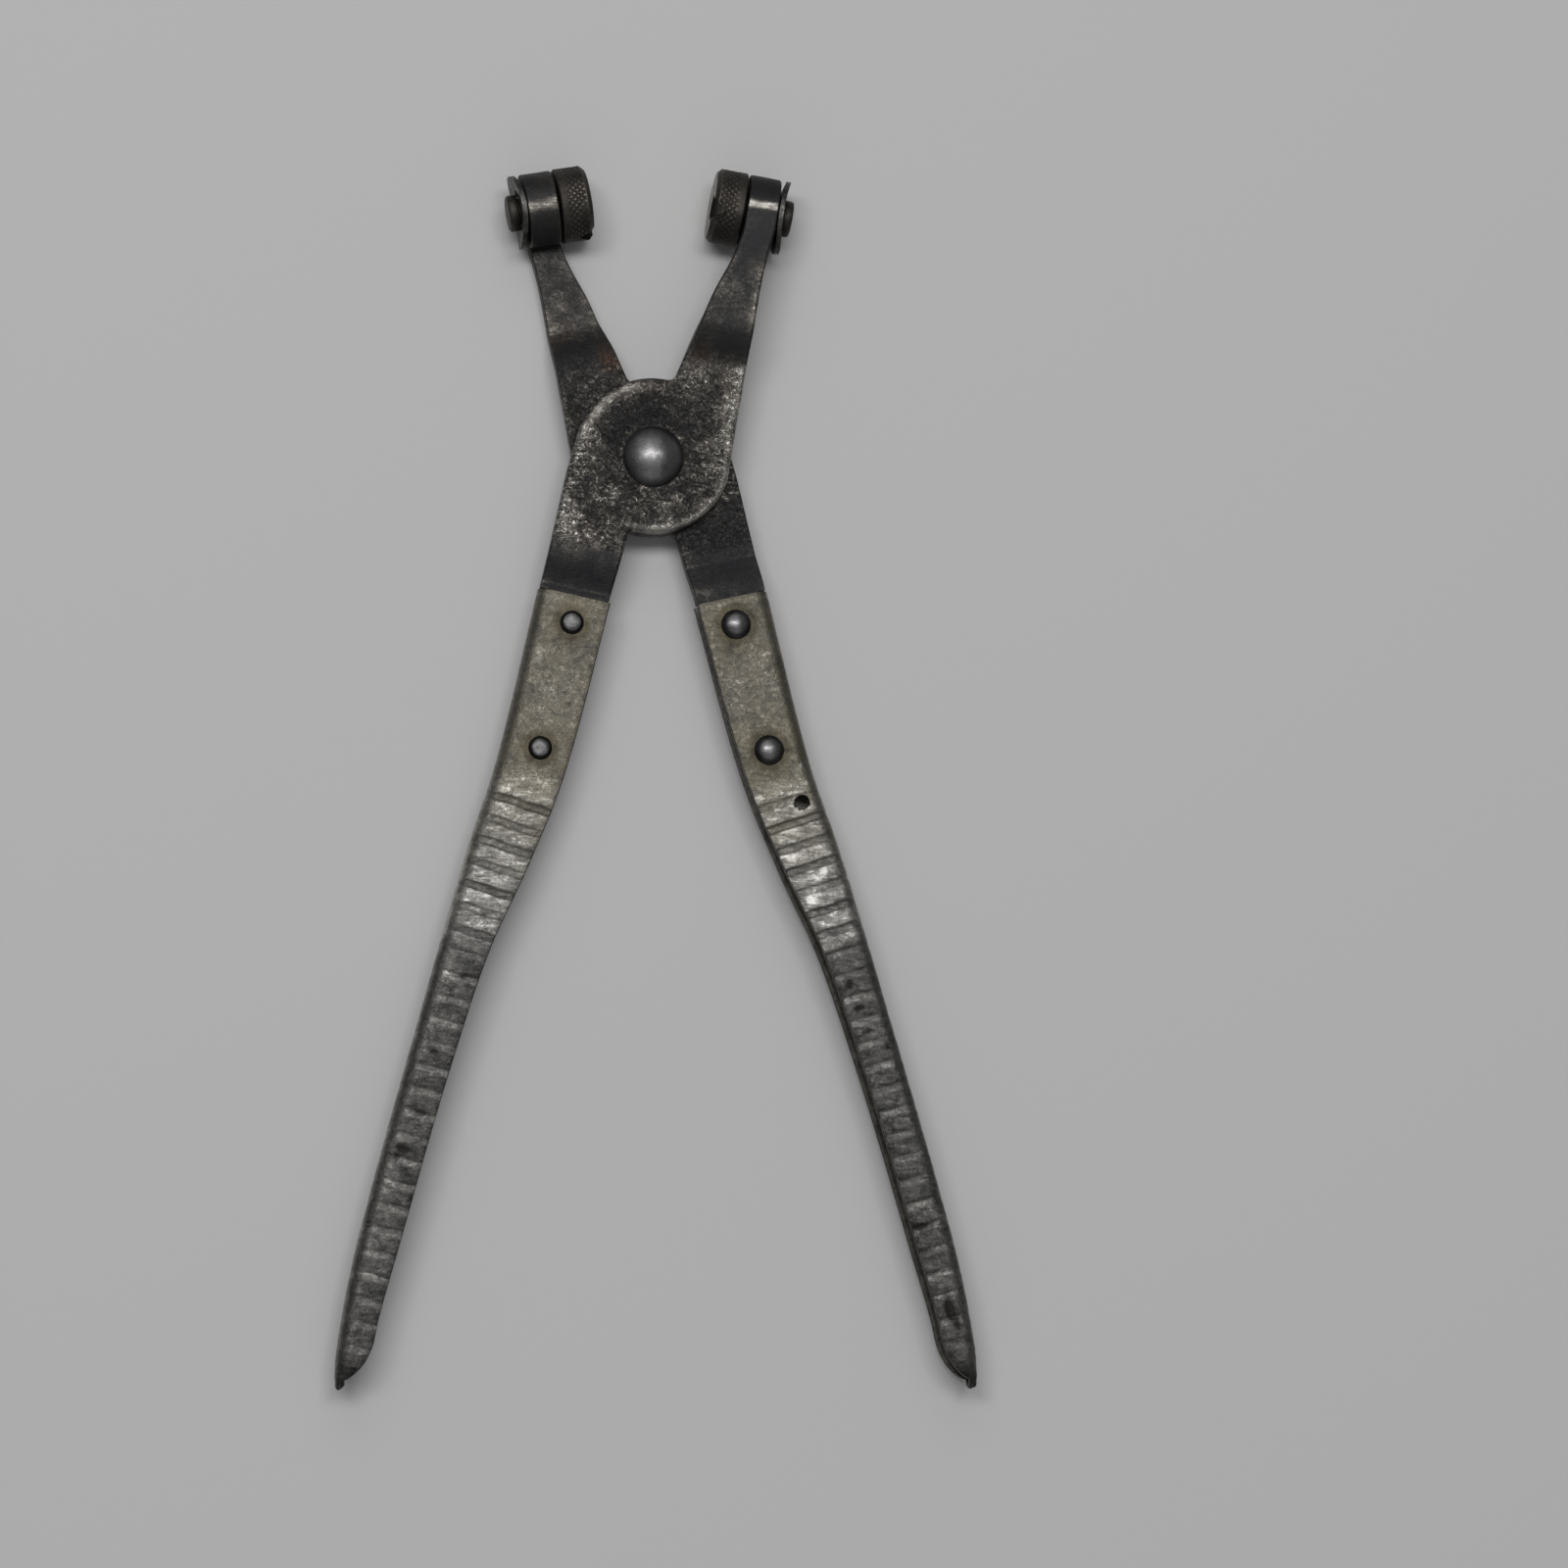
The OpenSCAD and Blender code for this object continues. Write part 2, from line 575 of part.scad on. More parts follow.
front_lever();
rear_lever();
pivot_rivet();
left_handle();
right_handle();
left_upper_rivet();
left_lower_rivet();
right_upper_rivet();
right_lower_rivet();
left_swivel_jaw();
right_swivel_jaw();
left_retaining_clip();
right_retaining_clip();
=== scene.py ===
"""The looks of a worn pair of hose clamp pliers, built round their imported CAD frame.

Every size is in millimetres. A half of the tool is worked out in its own drawing frame: the pivot
is the origin, +v runs up the arm to the jaw, the arm leans to +x, the handle hangs at -x, and +z
is the side of the handle's long flange. HalfPlace turns it into the row frame, in metres.
"""
import json
import logging
import math
from dataclasses import dataclass
from enum import Enum

import bpy
import numpy as np
from mathutils import Matrix


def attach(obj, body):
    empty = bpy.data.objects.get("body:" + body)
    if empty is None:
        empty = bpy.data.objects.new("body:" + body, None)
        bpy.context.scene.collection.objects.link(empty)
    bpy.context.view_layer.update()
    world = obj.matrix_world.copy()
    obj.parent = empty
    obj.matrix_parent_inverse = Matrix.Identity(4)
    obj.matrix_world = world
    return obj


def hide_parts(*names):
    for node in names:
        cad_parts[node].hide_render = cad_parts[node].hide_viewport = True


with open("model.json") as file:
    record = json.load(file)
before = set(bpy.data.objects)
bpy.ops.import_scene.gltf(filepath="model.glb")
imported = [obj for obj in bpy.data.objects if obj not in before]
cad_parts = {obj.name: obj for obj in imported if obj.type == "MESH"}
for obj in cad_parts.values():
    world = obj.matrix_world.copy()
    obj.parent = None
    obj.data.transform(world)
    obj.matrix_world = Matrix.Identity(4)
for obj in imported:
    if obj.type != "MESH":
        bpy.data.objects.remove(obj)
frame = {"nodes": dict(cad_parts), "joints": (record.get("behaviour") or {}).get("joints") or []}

log = logging.getLogger("pliers")
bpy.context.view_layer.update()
JOINTS = {joint["name"]: joint for joint in frame["joints"]}
PIVOT = np.array(JOINTS["pivot"]["pos_m"])
MM = 0.001
# Where the handle rivets stand in a half, as x and v, and the radius of their bores
RIVET_SPOTS = {"upper": (-7.9, -32.4), "lower": (-8.7, -55.6)}
RIVET_BORE_R = 1.65


class Half(Enum):
    """The two equal halves: the front one lies as drawn, the rear one is turned over."""

    FRONT = 1
    REAR = -1

    @property
    def body(self) -> str:
        """Name of the CAD body that the half's lever and handle ride on."""
        return "front_half" if self is Half.FRONT else "rear_half"

    @property
    def jaw_body(self) -> str:
        """Name of the CAD body of the jaw that this half's arm carries."""
        return "right_jaw" if self is Half.FRONT else "left_jaw"

    @property
    def handle_side(self) -> str:
        """Side of the photographed face on which the half's handle hangs."""
        return "left" if self is Half.FRONT else "right"

    @property
    def jaw_side(self) -> str:
        """Side of the photographed face on which the half's jaw stands."""
        return "right" if self is Half.FRONT else "left"


@dataclass(frozen=True)
class HalfPlace:
    """Carries points from a half's drawing frame, in mm, to the row frame, in metres."""

    half: Half
    open_deg: float = 12.3

    def points(self, p: np.ndarray) -> np.ndarray:
        """Turns a half over if it is the rear one, swings it open and moves it to the pivot.

        Args:
            p: points of the drawing frame, the last axis holding x, v and z.

        Returns:
            The same points in the row frame, in metres.
        """
        side = self.half.value
        c, s = math.cos(math.radians(self.open_deg)), -side * math.sin(math.radians(self.open_deg))
        x, y, z = side * p[..., 0], p[..., 1], side * p[..., 2]
        return PIVOT + MM * np.stack([x * c - y * s, x * s + y * c, z], axis=-1)


# Shapes on arrays
def ease(t: np.ndarray) -> np.ndarray:
    """Smooth step: 0 below 0, 1 above 1, and 3t^2 - 2t^3 between."""
    t = np.clip(t, 0, 1)
    return t * t * (3 - 2 * t)


def ease_slope(t: np.ndarray) -> np.ndarray:
    """Slope of the smooth step, 6t(1 - t) between 0 and 1 and 0 outside."""
    return np.where((t > 0) & (t < 1), 6 * t * (1 - t), 0)


def through(s: np.ndarray, knots: list[tuple[float, float]]) -> np.ndarray:
    """Cubic curve through knots, whose slope at a knot is that of the chord of its neighbours.

    Args:
        s: places at which the curve is read.
        knots: pairs of place and value, in rising order of place.

    Returns:
        The curve's values at s.
    """
    k = np.array(knots)
    a, b = np.maximum(np.arange(len(k)) - 1, 0), np.minimum(np.arange(len(k)) + 1, len(k) - 1)
    slope = (k[b, 1] - k[a, 1]) / (k[b, 0] - k[a, 0])
    i = np.clip(np.searchsorted(k[:, 0], s, side="right") - 1, 0, len(k) - 2)
    h = k[i + 1, 0] - k[i, 0]
    t = (s - k[i, 0]) / h
    return (k[i, 1] * (1 - 3 * t**2 + 2 * t**3) + slope[i] * h * (t - 2 * t**2 + t**3)
            + k[i + 1, 1] * (3 * t**2 - 2 * t**3) + slope[i + 1] * h * (t**3 - t**2))


def arc(centre: np.ndarray, radius: float, a0: float, a1: float, count: int) -> np.ndarray:
    """Points of a circle's arc: centre + r (cos a, sin a).

    Args:
        centre: centre of the circle.
        radius: its radius.
        a0: first angle, in degrees.
        a1: last angle, in degrees.
        count: number of points.

    Returns:
        The points, from the first angle to the last.
    """
    a = np.radians(np.linspace(a0, a1, count))
    return centre + radius * np.stack([np.cos(a), np.sin(a)], axis=-1)


def dense(corners: np.ndarray, step: float) -> np.ndarray:
    """A polyline's points set about a step apart, measured along its length.

    Args:
        corners: the polyline's corners, point by point.
        step: distance between the new points.

    Returns:
        The new points, from the first corner to the last.
    """
    run = np.concatenate([[0], np.cumsum(np.linalg.norm(np.diff(corners, axis=0), axis=1))])
    at = np.linspace(0, run[-1], max(2, int(run[-1] / step)))
    return np.stack([np.interp(at, run, corners[:, k]) for k in range(corners.shape[1])], axis=-1)


def ripple(a: np.ndarray, b: np.ndarray, wave: float, phase: float) -> np.ndarray:
    """Gentle unevenness from -1 to 1: a mean of six sine waves that run in different directions.

    Args:
        a: first coordinate of each point.
        b: second coordinate of each point.
        wave: length of the longest wave.
        phase: turns and shifts the waves, so that two surfaces differ.

    Returns:
        The unevenness at each point.
    """
    turn = np.arange(6) * 1.13 + phase
    k = 2 * np.pi / (wave * (1 + 0.31 * np.arange(6) / 6))
    waves = np.sin((a[..., None] * np.cos(turn) + b[..., None] * np.sin(turn)) * k + 2.7 * turn)
    return waves.mean(axis=-1)


def spots(a: np.ndarray, b: np.ndarray, marks: list[tuple[float, ...]]) -> np.ndarray:
    """Sum of soft round marks: amount * exp(-((a - a0)/ra)^2 - ((b - b0)/rb)^2).

    Args:
        a: first coordinate of each point.
        b: second coordinate of each point.
        marks: rows of a0, b0, ra, rb and amount.

    Returns:
        The marks' sum at each point.
    """
    m = np.array(marks)
    da, db = (a[..., None] - m[:, 0]) / m[:, 2], (b[..., None] - m[:, 1]) / m[:, 3]
    return (m[:, 4] * np.exp(-da * da - db * db)).sum(axis=-1)


def loft(name: str, rings: np.ndarray, paint: dict[str, np.ndarray] | None = None,
         sharp_deg: float = 40.0) -> bpy.types.Object:
    """Closed skin over rings of points, with a flat face at each end, pointing outwards.

    Quads join point j of ring i to its neighbours j + 1 and i + 1. The skin's volume is the sum
    of the triple products of its triangles, and its sign tells which way the faces turn.

    Args:
        name: name of the new piece.
        rings: array of rings by points by xyz, in metres, each ring closed on itself.
        paint: point attributes, each of rings by points.
        sharp_deg: angle between faces above which an edge stays sharp.

    Returns:
        The new object, at the origin.
    """
    n, m = rings.shape[:2]
    i, j = np.meshgrid(np.arange(n - 1), np.arange(m), indexing="ij")
    k = (j + 1) % m
    quads = np.stack([i * m + j, i * m + k, (i + 1) * m + k, (i + 1) * m + j], axis=-1).reshape(-1, 4)
    ends = [np.arange(m)[::-1], (n - 1) * m + np.arange(m)]
    points = rings.reshape(-1, 3)
    p = points - points.mean(axis=0)
    volume = (np.cross(p[quads[:, 0]], p[quads[:, 1]]) * p[quads[:, 2]]).sum()
    volume += (np.cross(p[quads[:, 0]], p[quads[:, 2]]) * p[quads[:, 3]]).sum()
    if volume < 0:
        quads, ends = quads[:, ::-1], [end[::-1] for end in ends]
    mesh = bpy.data.meshes.new(name)
    corners = np.concatenate([quads.ravel(), *ends]).astype(np.int32)
    sizes = np.concatenate([np.full(len(quads), 4), [m, m]]).astype(np.int32)
    mesh.vertices.add(len(points))
    mesh.vertices.foreach_set("co", points.astype(np.float32).ravel())
    mesh.loops.add(len(corners))
    mesh.loops.foreach_set("vertex_index", corners)
    mesh.polygons.add(len(sizes))
    starts = np.concatenate([[0], np.cumsum(sizes)[:-1]]).astype(np.int32)
    mesh.polygons.foreach_set("loop_start", starts)
    mesh.update(calc_edges=True)
    mesh.validate()
    for key, values in (paint or {}).items():
        attribute = mesh.attributes.new(key, "FLOAT", "POINT")
        attribute.data.foreach_set("value", values.astype(np.float32).ravel())
    mesh.polygons.foreach_set("use_smooth", np.ones(len(mesh.polygons), bool))
    mesh.set_sharp_from_angle(angle=math.radians(sharp_deg))
    piece = bpy.data.objects.new(name, mesh)
    bpy.context.scene.collection.objects.link(piece)
    return piece


def turned(profile: np.ndarray, around: int) -> np.ndarray:
    """Turns a lathe profile about the height axis: (r cos t, r sin t, h).

    Args:
        profile: pairs of radius and height.
        around: number of points round each ring.

    Returns:
        An array of rings by points by xyz.
    """
    t = np.linspace(0, 2 * np.pi, around, endpoint=False)
    r, h = profile[:, None, 0], profile[:, None, 1] + 0 * t
    return np.stack([r * np.cos(t), r * np.sin(t), h], axis=-1)


def machine(piece: bpy.types.Object, cutters: list[bpy.types.Object]) -> None:
    """Cuts tool shapes out of a piece, exactly, and takes the tools away.

    Args:
        piece: the piece that is cut.
        cutters: closed bodies that are cut out of it.
    """
    for cutter in cutters:
        cut = piece.modifiers.new("cut", "BOOLEAN")
        cut.operation, cut.solver, cut.object = "DIFFERENCE", "EXACT", cutter
    bpy.context.view_layer.update()
    depsgraph = bpy.context.evaluated_depsgraph_get()
    worked = bpy.data.meshes.new_from_object(piece.evaluated_get(depsgraph))
    piece.modifiers.clear()
    piece.data = worked
    piece.data.name = piece.name
    for cutter in cutters:
        bpy.data.objects.remove(cutter)


def drill(place: HalfPlace, x: float, v: float, radius: float, low: float, high: float) -> bpy.types.Object:
    """A drill's body: a straight cylinder along z.

    Args:
        place: the half that is drilled.
        x: place across the half.
        v: place along the half.
        radius: radius of the drill.
        low: lower end, in z.
        high: upper end, in z.

    Returns:
        The drill's body, for machine().
    """
    rings = turned(np.array([[radius, low], [radius, high]]), 48) + np.array([x, v, 0])
    return loft("drill", place.points(rings))


# Finishes
@dataclass(frozen=True)
class Mottle:
    """A cloudy pattern: its waves per mm, detail, roughness and bend, its stretch and turn about Z."""

    scale: float
    detail: float = 5
    rough: float = 0.6
    bend: float = 0.0
    stretch: tuple[float, float, float] | None = None
    turn: float = 0.0


class Bench:
    """Lays out the nodes of one material. Every pattern is in millimetres of the object."""

    def __init__(self, name: str) -> None:
        """Starts an empty material.

        Args:
            name: name of the new material.
        """
        self.material = bpy.data.materials.new(name)
        self.material.use_nodes = True
        self.tree = self.material.node_tree
        self.tree.nodes.clear()
        coordinate = self.tree.nodes.new("ShaderNodeTexCoord")
        scaled = self.tree.nodes.new("ShaderNodeMapping")
        scaled.inputs["Scale"].default_value = (1000, 1000, 1000)
        self.tree.links.new(coordinate.outputs["Object"], scaled.inputs["Vector"])
        self.mm = scaled.outputs["Vector"]

    def feed(self, socket: bpy.types.NodeSocket, value: object) -> None:
        """Links a socket to another node's output, or sets its number or colour.

        Args:
            socket: the input that is fed.
            value: an output socket, a number or a colour, or None to leave the input alone.
        """
        if isinstance(value, bpy.types.NodeSocket):
            self.tree.links.new(value, socket)
        elif value is not None:
            socket.default_value = value

    def noise(self, mottle: Mottle) -> bpy.types.NodeSocket:
        """Lays down a cloudy pattern.

        Args:
            mottle: what the pattern is like.

        Returns:
            The pattern, a number about 0.5.
        """
        source = self.mm
        if mottle.stretch is not None:
            mapping = self.tree.nodes.new("ShaderNodeMapping")
            mapping.inputs["Scale"].default_value = mottle.stretch
            mapping.inputs["Rotation"].default_value = (0, 0, math.radians(mottle.turn))
            self.feed(mapping.inputs["Vector"], source)
            source = mapping.outputs["Vector"]
        node = self.tree.nodes.new("ShaderNodeTexNoise")
        self.feed(node.inputs["Vector"], source)
        node.inputs["Scale"].default_value = mottle.scale
        node.inputs["Detail"].default_value = mottle.detail
        node.inputs["Roughness"].default_value = mottle.rough
        node.inputs["Distortion"].default_value = mottle.bend
        return node.outputs["Fac"]

    def painted(self, name: str) -> bpy.types.NodeSocket:
        """Reads one of the piece's own point attributes.

        Args:
            name: the attribute's name.

        Returns:
            Its value.
        """
        node = self.tree.nodes.new("ShaderNodeAttribute")
        node.attribute_name = name
        return node.outputs["Fac"]

    def calc(self, how: str, a: object, b: object = None, clamp: bool = False) -> bpy.types.NodeSocket:
        """One step of arithmetic.

        Args:
            how: the step's name, such as ADD.
            a: first number or socket.
            b: second number or socket, where the step has one.
            clamp: whether the result is held between 0 and 1.

        Returns:
            The result.
        """
        node = self.tree.nodes.new("ShaderNodeMath")
        node.operation, node.use_clamp = how, clamp
        self.feed(node.inputs[0], a)
        self.feed(node.inputs[1], b)
        return node.outputs[0]

    def swing(self, pattern: bpy.types.NodeSocket, gain: float) -> bpy.types.NodeSocket:
        """A pattern about 0.5 turned into one about 0, times gain."""
        return self.calc("MULTIPLY", self.calc("SUBTRACT", pattern, 0.5), gain)

    def tones(self, level: bpy.types.NodeSocket,
              stops: tuple[tuple[float, tuple[float, float, float]], ...]) -> bpy.types.NodeSocket:
        """Colours along a scale from dark to light.

        Args:
            level: place on the scale.
            stops: pairs of place and colour, in rising order.

        Returns:
            The colour.
        """
        node = self.tree.nodes.new("ShaderNodeValToRGB")
        ramp = node.color_ramp
        while len(ramp.elements) < len(stops):
            ramp.elements.new(0.5)
        for element, (at, colour) in zip(ramp.elements, stops):
            element.position, element.color = at, (*colour, 1)
        self.feed(node.inputs["Fac"], level)
        return node.outputs["Color"]

    def span(self, level: bpy.types.NodeSocket, low: float, high: float,
             to_low: float, to_high: float) -> bpy.types.NodeSocket:
        """Takes a range of a number to another range, held at its ends.

        Args:
            level: the number.
            low: start of its range.
            high: end of its range.
            to_low: what the start becomes.
            to_high: what the end becomes.

        Returns:
            The number in the new range.
        """
        node = self.tree.nodes.new("ShaderNodeMapRange")
        for key, value in (("Value", level), ("From Min", low), ("From Max", high),
                           ("To Min", to_low), ("To Max", to_high)):
            self.feed(node.inputs[key], value)
        return node.outputs["Result"]

    def blend(self, share: object, a: object, b: object) -> bpy.types.NodeSocket:
        """Mixes two colours.

        Args:
            share: how much of b there is, a number or a socket.
            a: colour or socket.
            b: colour or socket.

        Returns:
            The mixed colour.
        """
        node = self.tree.nodes.new("ShaderNodeMix")
        node.data_type = "RGBA"
        self.feed(node.inputs["Factor"], share)
        colour_inputs = [s for s in node.inputs if s.type == "RGBA"]
        self.feed(colour_inputs[0], a if isinstance(a, bpy.types.NodeSocket) else (*a, 1))
        self.feed(colour_inputs[1], b if isinstance(b, bpy.types.NodeSocket) else (*b, 1))
        return next(s for s in node.outputs if s.type == "RGBA")

    def relief(self, height: bpy.types.NodeSocket, depth_mm: float) -> bpy.types.NodeSocket:
        """Bump of a pattern.

        Args:
            height: the pattern.
            depth_mm: how high the pattern's full swing stands.

        Returns:
            The surface's direction.
        """
        node = self.tree.nodes.new("ShaderNodeBump")
        node.inputs["Distance"].default_value = depth_mm * MM
        node.inputs["Strength"].default_value = 1.0
        self.feed(node.inputs["Height"], height)
        return node.outputs["Normal"]

    def finish(self, colour: bpy.types.NodeSocket, rough: object, normal: bpy.types.NodeSocket,
               metallic: object) -> bpy.types.Material:
        """Ends the material in its shader.

        Args:
            colour: the base colour.
            rough: roughness, a number or a socket.
            normal: the surface's direction.
            metallic: share of bare metal, a number or a socket.

        Returns:
            The finished material.
        """
        shader = self.tree.nodes.new("ShaderNodeBsdfPrincipled")
        output = self.tree.nodes.new("ShaderNodeOutputMaterial")
        self.feed(shader.inputs["Base Color"], colour)
        self.feed(shader.inputs["Roughness"], rough)
        self.feed(shader.inputs["Metallic"], metallic)
        self.feed(shader.inputs["Normal"], normal)
        self.tree.links.new(shader.outputs["BSDF"], output.inputs["Surface"])
        return self.material


@dataclass(frozen=True)
class LeverSteel:
    """Pressed steel under worn black oxide: dark, pitted, speckled bright where hands rub it."""

    name: str = "lever_steel"
    oxide: tuple[float, float, float] = (0.0095, 0.0095, 0.0115)
    dull: tuple[float, float, float] = (0.029, 0.028, 0.027)
    worn: tuple[float, float, float] = (0.088, 0.081, 0.072)
    bare: tuple[float, float, float] = (0.34, 0.325, 0.30)
    rust: tuple[float, float, float] = (0.055, 0.033, 0.024)
    specks: Mottle = Mottle(0.85, 5, 0.6, 1.6)
    patches: Mottle = Mottle(0.22, 3, 0.55, 0.6)
    grains: Mottle = Mottle(3.6, 4, 0.6)
    scratches: Mottle = Mottle(0.62, 6, 0.7, 0.2, stretch=(0.42, 3.4, 1.0), turn=8)
    crumbs: Mottle = Mottle(0.72, 3, 0.6, 1.5)
    relief_mm: float = 0.085

    def material(self) -> bpy.types.Material:
        """Builds the finish from the lever's tone, rub, rust and pit attributes and its mottles.

        The crumbled ridges stand where a cloudy pattern is near its middle.

        Returns:
            The material.
        """
        b = Bench(self.name)
        speck, patch, grain = b.noise(self.specks), b.noise(self.patches), b.noise(self.grains)
        scratch = b.noise(self.scratches)
        pit = b.painted("pit")
        crumb = b.calc("ABSOLUTE", b.swing(b.noise(self.crumbs), 20.0))
        ridge = b.calc("MULTIPLY", b.calc("SUBTRACT", 1.0, crumb, clamp=True), pit)
        blotch = b.span(speck, 0.36, 0.64, -0.5, 0.5)
        level = b.calc("ADD", b.painted("tone"), b.calc("MULTIPLY", blotch, b.span(pit, 0.0, 1.0, 0.12, 0.5)))
        level = b.calc("ADD", level, b.swing(patch, 0.75))
        level = b.calc("ADD", level, b.calc("MULTIPLY", b.swing(scratch, 1.3), b.painted("rub")))
        level = b.calc("ADD", level, b.calc("MULTIPLY", ridge, 0.26))
        level = b.calc("ADD", level, b.swing(grain, 0.3), clamp=True)
        colour = b.tones(level, ((0.0, self.oxide), (0.34, self.dull), (0.62, self.worn), (0.98, self.bare)))
        rusted = b.calc("MULTIPLY", b.painted("rust"), b.span(patch, 0.35, 0.6, 0.3, 1.0))
        colour = b.blend(rusted, colour, self.rust)
        height = b.calc("ADD", b.span(speck, 0.3, 0.62, 0.0, 1.0), b.calc("MULTIPLY", grain, 0.5))
        height = b.calc("MULTIPLY", height, b.span(pit, 0.0, 1.0, 0.4, 1.0))
        normal = b.relief(b.calc("ADD", height, ridge), self.relief_mm)
        rough, metallic = b.span(level, 0.1, 0.95, 0.56, 0.33), b.span(level, 0.0, 0.5, 0.55, 0.95)
        return b.finish(colour, rough, normal, metallic)


@dataclass(frozen=True)
class HandlePlating:
    """Dull zinc plating on sheet steel: warm grey above, lighter and streaked below the bend, partly as
    painted sheen, dark on the grip.
    """

    name: str = "handle_steel"
    soot: tuple[float, float, float] = (0.012, 0.0115, 0.0112)
    dark: tuple[float, float, float] = (0.046, 0.045, 0.0448)
    mid: tuple[float, float, float] = (0.098, 0.0955, 0.0905)
    light: tuple[float, float, float] = (0.195, 0.190, 0.178)
    bare: tuple[float, float, float] = (0.50, 0.49, 0.465)
    warm: tuple[float, float, float] = (0.128, 0.112, 0.073)
    clouds: Mottle = Mottle(0.35, 4, 0.55, 0.7)
    specks: Mottle = Mottle(1.1, 6, 0.66, 1.2)
    grains: Mottle = Mottle(4.2, 3, 0.6)
    streaks: Mottle = Mottle(0.6, 5, 0.62, 0.4, stretch=(0.5, 2.2, 1.0))
    relief_mm: float = 0.045

    def material(self) -> bpy.types.Material:
        """Builds the finish from the handle's tone, warm and rub attributes and its mottles.

        Returns:
            The material.
        """
        b = Bench(self.name)
        cloud, speck, grain = b.noise(self.clouds), b.noise(self.specks), b.noise(self.grains)
        streak = b.noise(self.streaks)
        level = b.calc("ADD", b.painted("tone"), b.swing(cloud, 0.55))
        smoothed = b.span(b.painted("rub"), 0.2, 0.5, 1.0, 0.6)
        level = b.calc("ADD", level, b.calc("MULTIPLY", b.swing(speck, 0.9), smoothed))
        level = b.calc("ADD", level, b.calc("MULTIPLY", b.swing(streak, 2.3), b.painted("rub")))
        level = b.calc("ADD", level, b.swing(grain, 0.18), clamp=True)
        colour = b.tones(level, ((0.0, self.soot), (0.25, self.dark), (0.5, self.mid), (0.72, self.light),
                                 (1.0, self.bare)))
        share = b.calc("MULTIPLY", b.painted("warm"), b.span(cloud, 0.3, 0.65, 0.35, 1.0))
        colour = b.blend(share, colour, b.blend(0.7, colour, self.warm))
        height = b.calc("ADD", b.span(speck, 0.28, 0.6, 0.0, 1.0), b.calc("MULTIPLY", grain, 0.4))
        normal = b.relief(height, self.relief_mm)
        return b.finish(colour, b.span(level, 0.1, 0.95, 0.55, 0.38), normal, 0.85)


@dataclass(frozen=True)
class JawSteel:
    """Knurled jaw steel, brown-grey in the knurl's valleys and rubbed pale on its points."""

    name: str = "jaw_steel"
    valley: tuple[float, float, float] = (0.013, 0.0112, 0.0098)
    flank: tuple[float, float, float] = (0.034, 0.0305, 0.0262)
    point: tuple[float, float, float] = (0.105, 0.095, 0.082)
    bare: tuple[float, float, float] = (0.36, 0.34, 0.31)
    specks: Mottle = Mottle(2.4, 5, 0.62, 0.5)
    patches: Mottle = Mottle(0.4, 3, 0.5)
    relief_mm: float = 0.04

    def material(self) -> bpy.types.Material:
        """Builds the finish from the tone attribute, with a fine mottle.

        Returns:
            The material.
        """
        b = Bench(self.name)
        speck, patch = b.noise(self.specks), b.noise(self.patches)
        level = b.calc("ADD", b.painted("tone"), b.swing(speck, 0.55))
        level = b.calc("ADD", level, b.swing(patch, 0.5), clamp=True)
        stops = ((0.0, self.valley), (0.35, self.flank), (0.75, self.point), (1.0, self.bare))
        colour, rough = b.tones(level, stops), b.span(level, 0.1, 0.9, 0.6, 0.36)
        return b.finish(colour, rough, b.relief(speck, self.relief_mm), 0.8)


@dataclass(frozen=True)
class RivetSteel:
    """Smooth rivet steel, grey, with dark grime in the angle at its foot and light handling marks."""

    name: str = "rivet_steel"
    grime: tuple[float, float, float] = (0.02, 0.019, 0.018)
    grey: tuple[float, float, float] = (0.125, 0.123, 0.125)
    bright: tuple[float, float, float] = (0.36, 0.355, 0.345)
    specks: Mottle = Mottle(2.6, 5, 0.6, 0.6)
    patches: Mottle = Mottle(0.7, 3, 0.5, 0.5)
    relief_mm: float = 0.03

    def material(self) -> bpy.types.Material:
        """Builds the finish from the tone attribute, with small dents.

        Returns:
            The material.
        """
        b = Bench(self.name)
        speck, patch = b.noise(self.specks), b.noise(self.patches)
        level = b.calc("ADD", b.painted("tone"), b.swing(speck, 0.4))
        level = b.calc("ADD", level, b.swing(patch, 0.35), clamp=True)
        colour = b.tones(level, ((0.0, self.grime), (0.5, self.grey), (1.0, self.bright)))
        rough = b.span(level, 0.0, 0.8, 0.52, 0.31)
        return b.finish(colour, rough, b.relief(speck, self.relief_mm), 0.95)


@dataclass(frozen=True)
class ClipSteel:
    """Spring steel clip, tempered grey, mottled lighter and darker at two sizes."""

    name: str = "clip_steel"
    dark: tuple[float, float, float] = (0.014, 0.0135, 0.013)
    grey: tuple[float, float, float] = (0.062, 0.061, 0.058)
    light: tuple[float, float, float] = (0.17, 0.165, 0.155)
    specks: Mottle = Mottle(2.2, 5, 0.62, 0.5)
    patches: Mottle = Mottle(0.5, 3, 0.5, 0.5)
    relief_mm: float = 0.03

    def material(self) -> bpy.types.Material:
        """Builds the finish from two sizes of mottle.

        Returns:
            The material.
        """
        b = Bench(self.name)
        speck, patch = b.noise(self.specks), b.noise(self.patches)
        level = b.calc("ADD", b.swing(speck, 1.1), b.swing(patch, 1.2))
        level = b.calc("ADD", level, 0.5, clamp=True)
        colour = b.tones(level, ((0.1, self.dark), (0.5, self.grey), (0.95, self.light)))
        rough = b.span(level, 0.1, 0.9, 0.5, 0.32)
        return b.finish(colour, rough, b.relief(speck, self.relief_mm), 0.9)


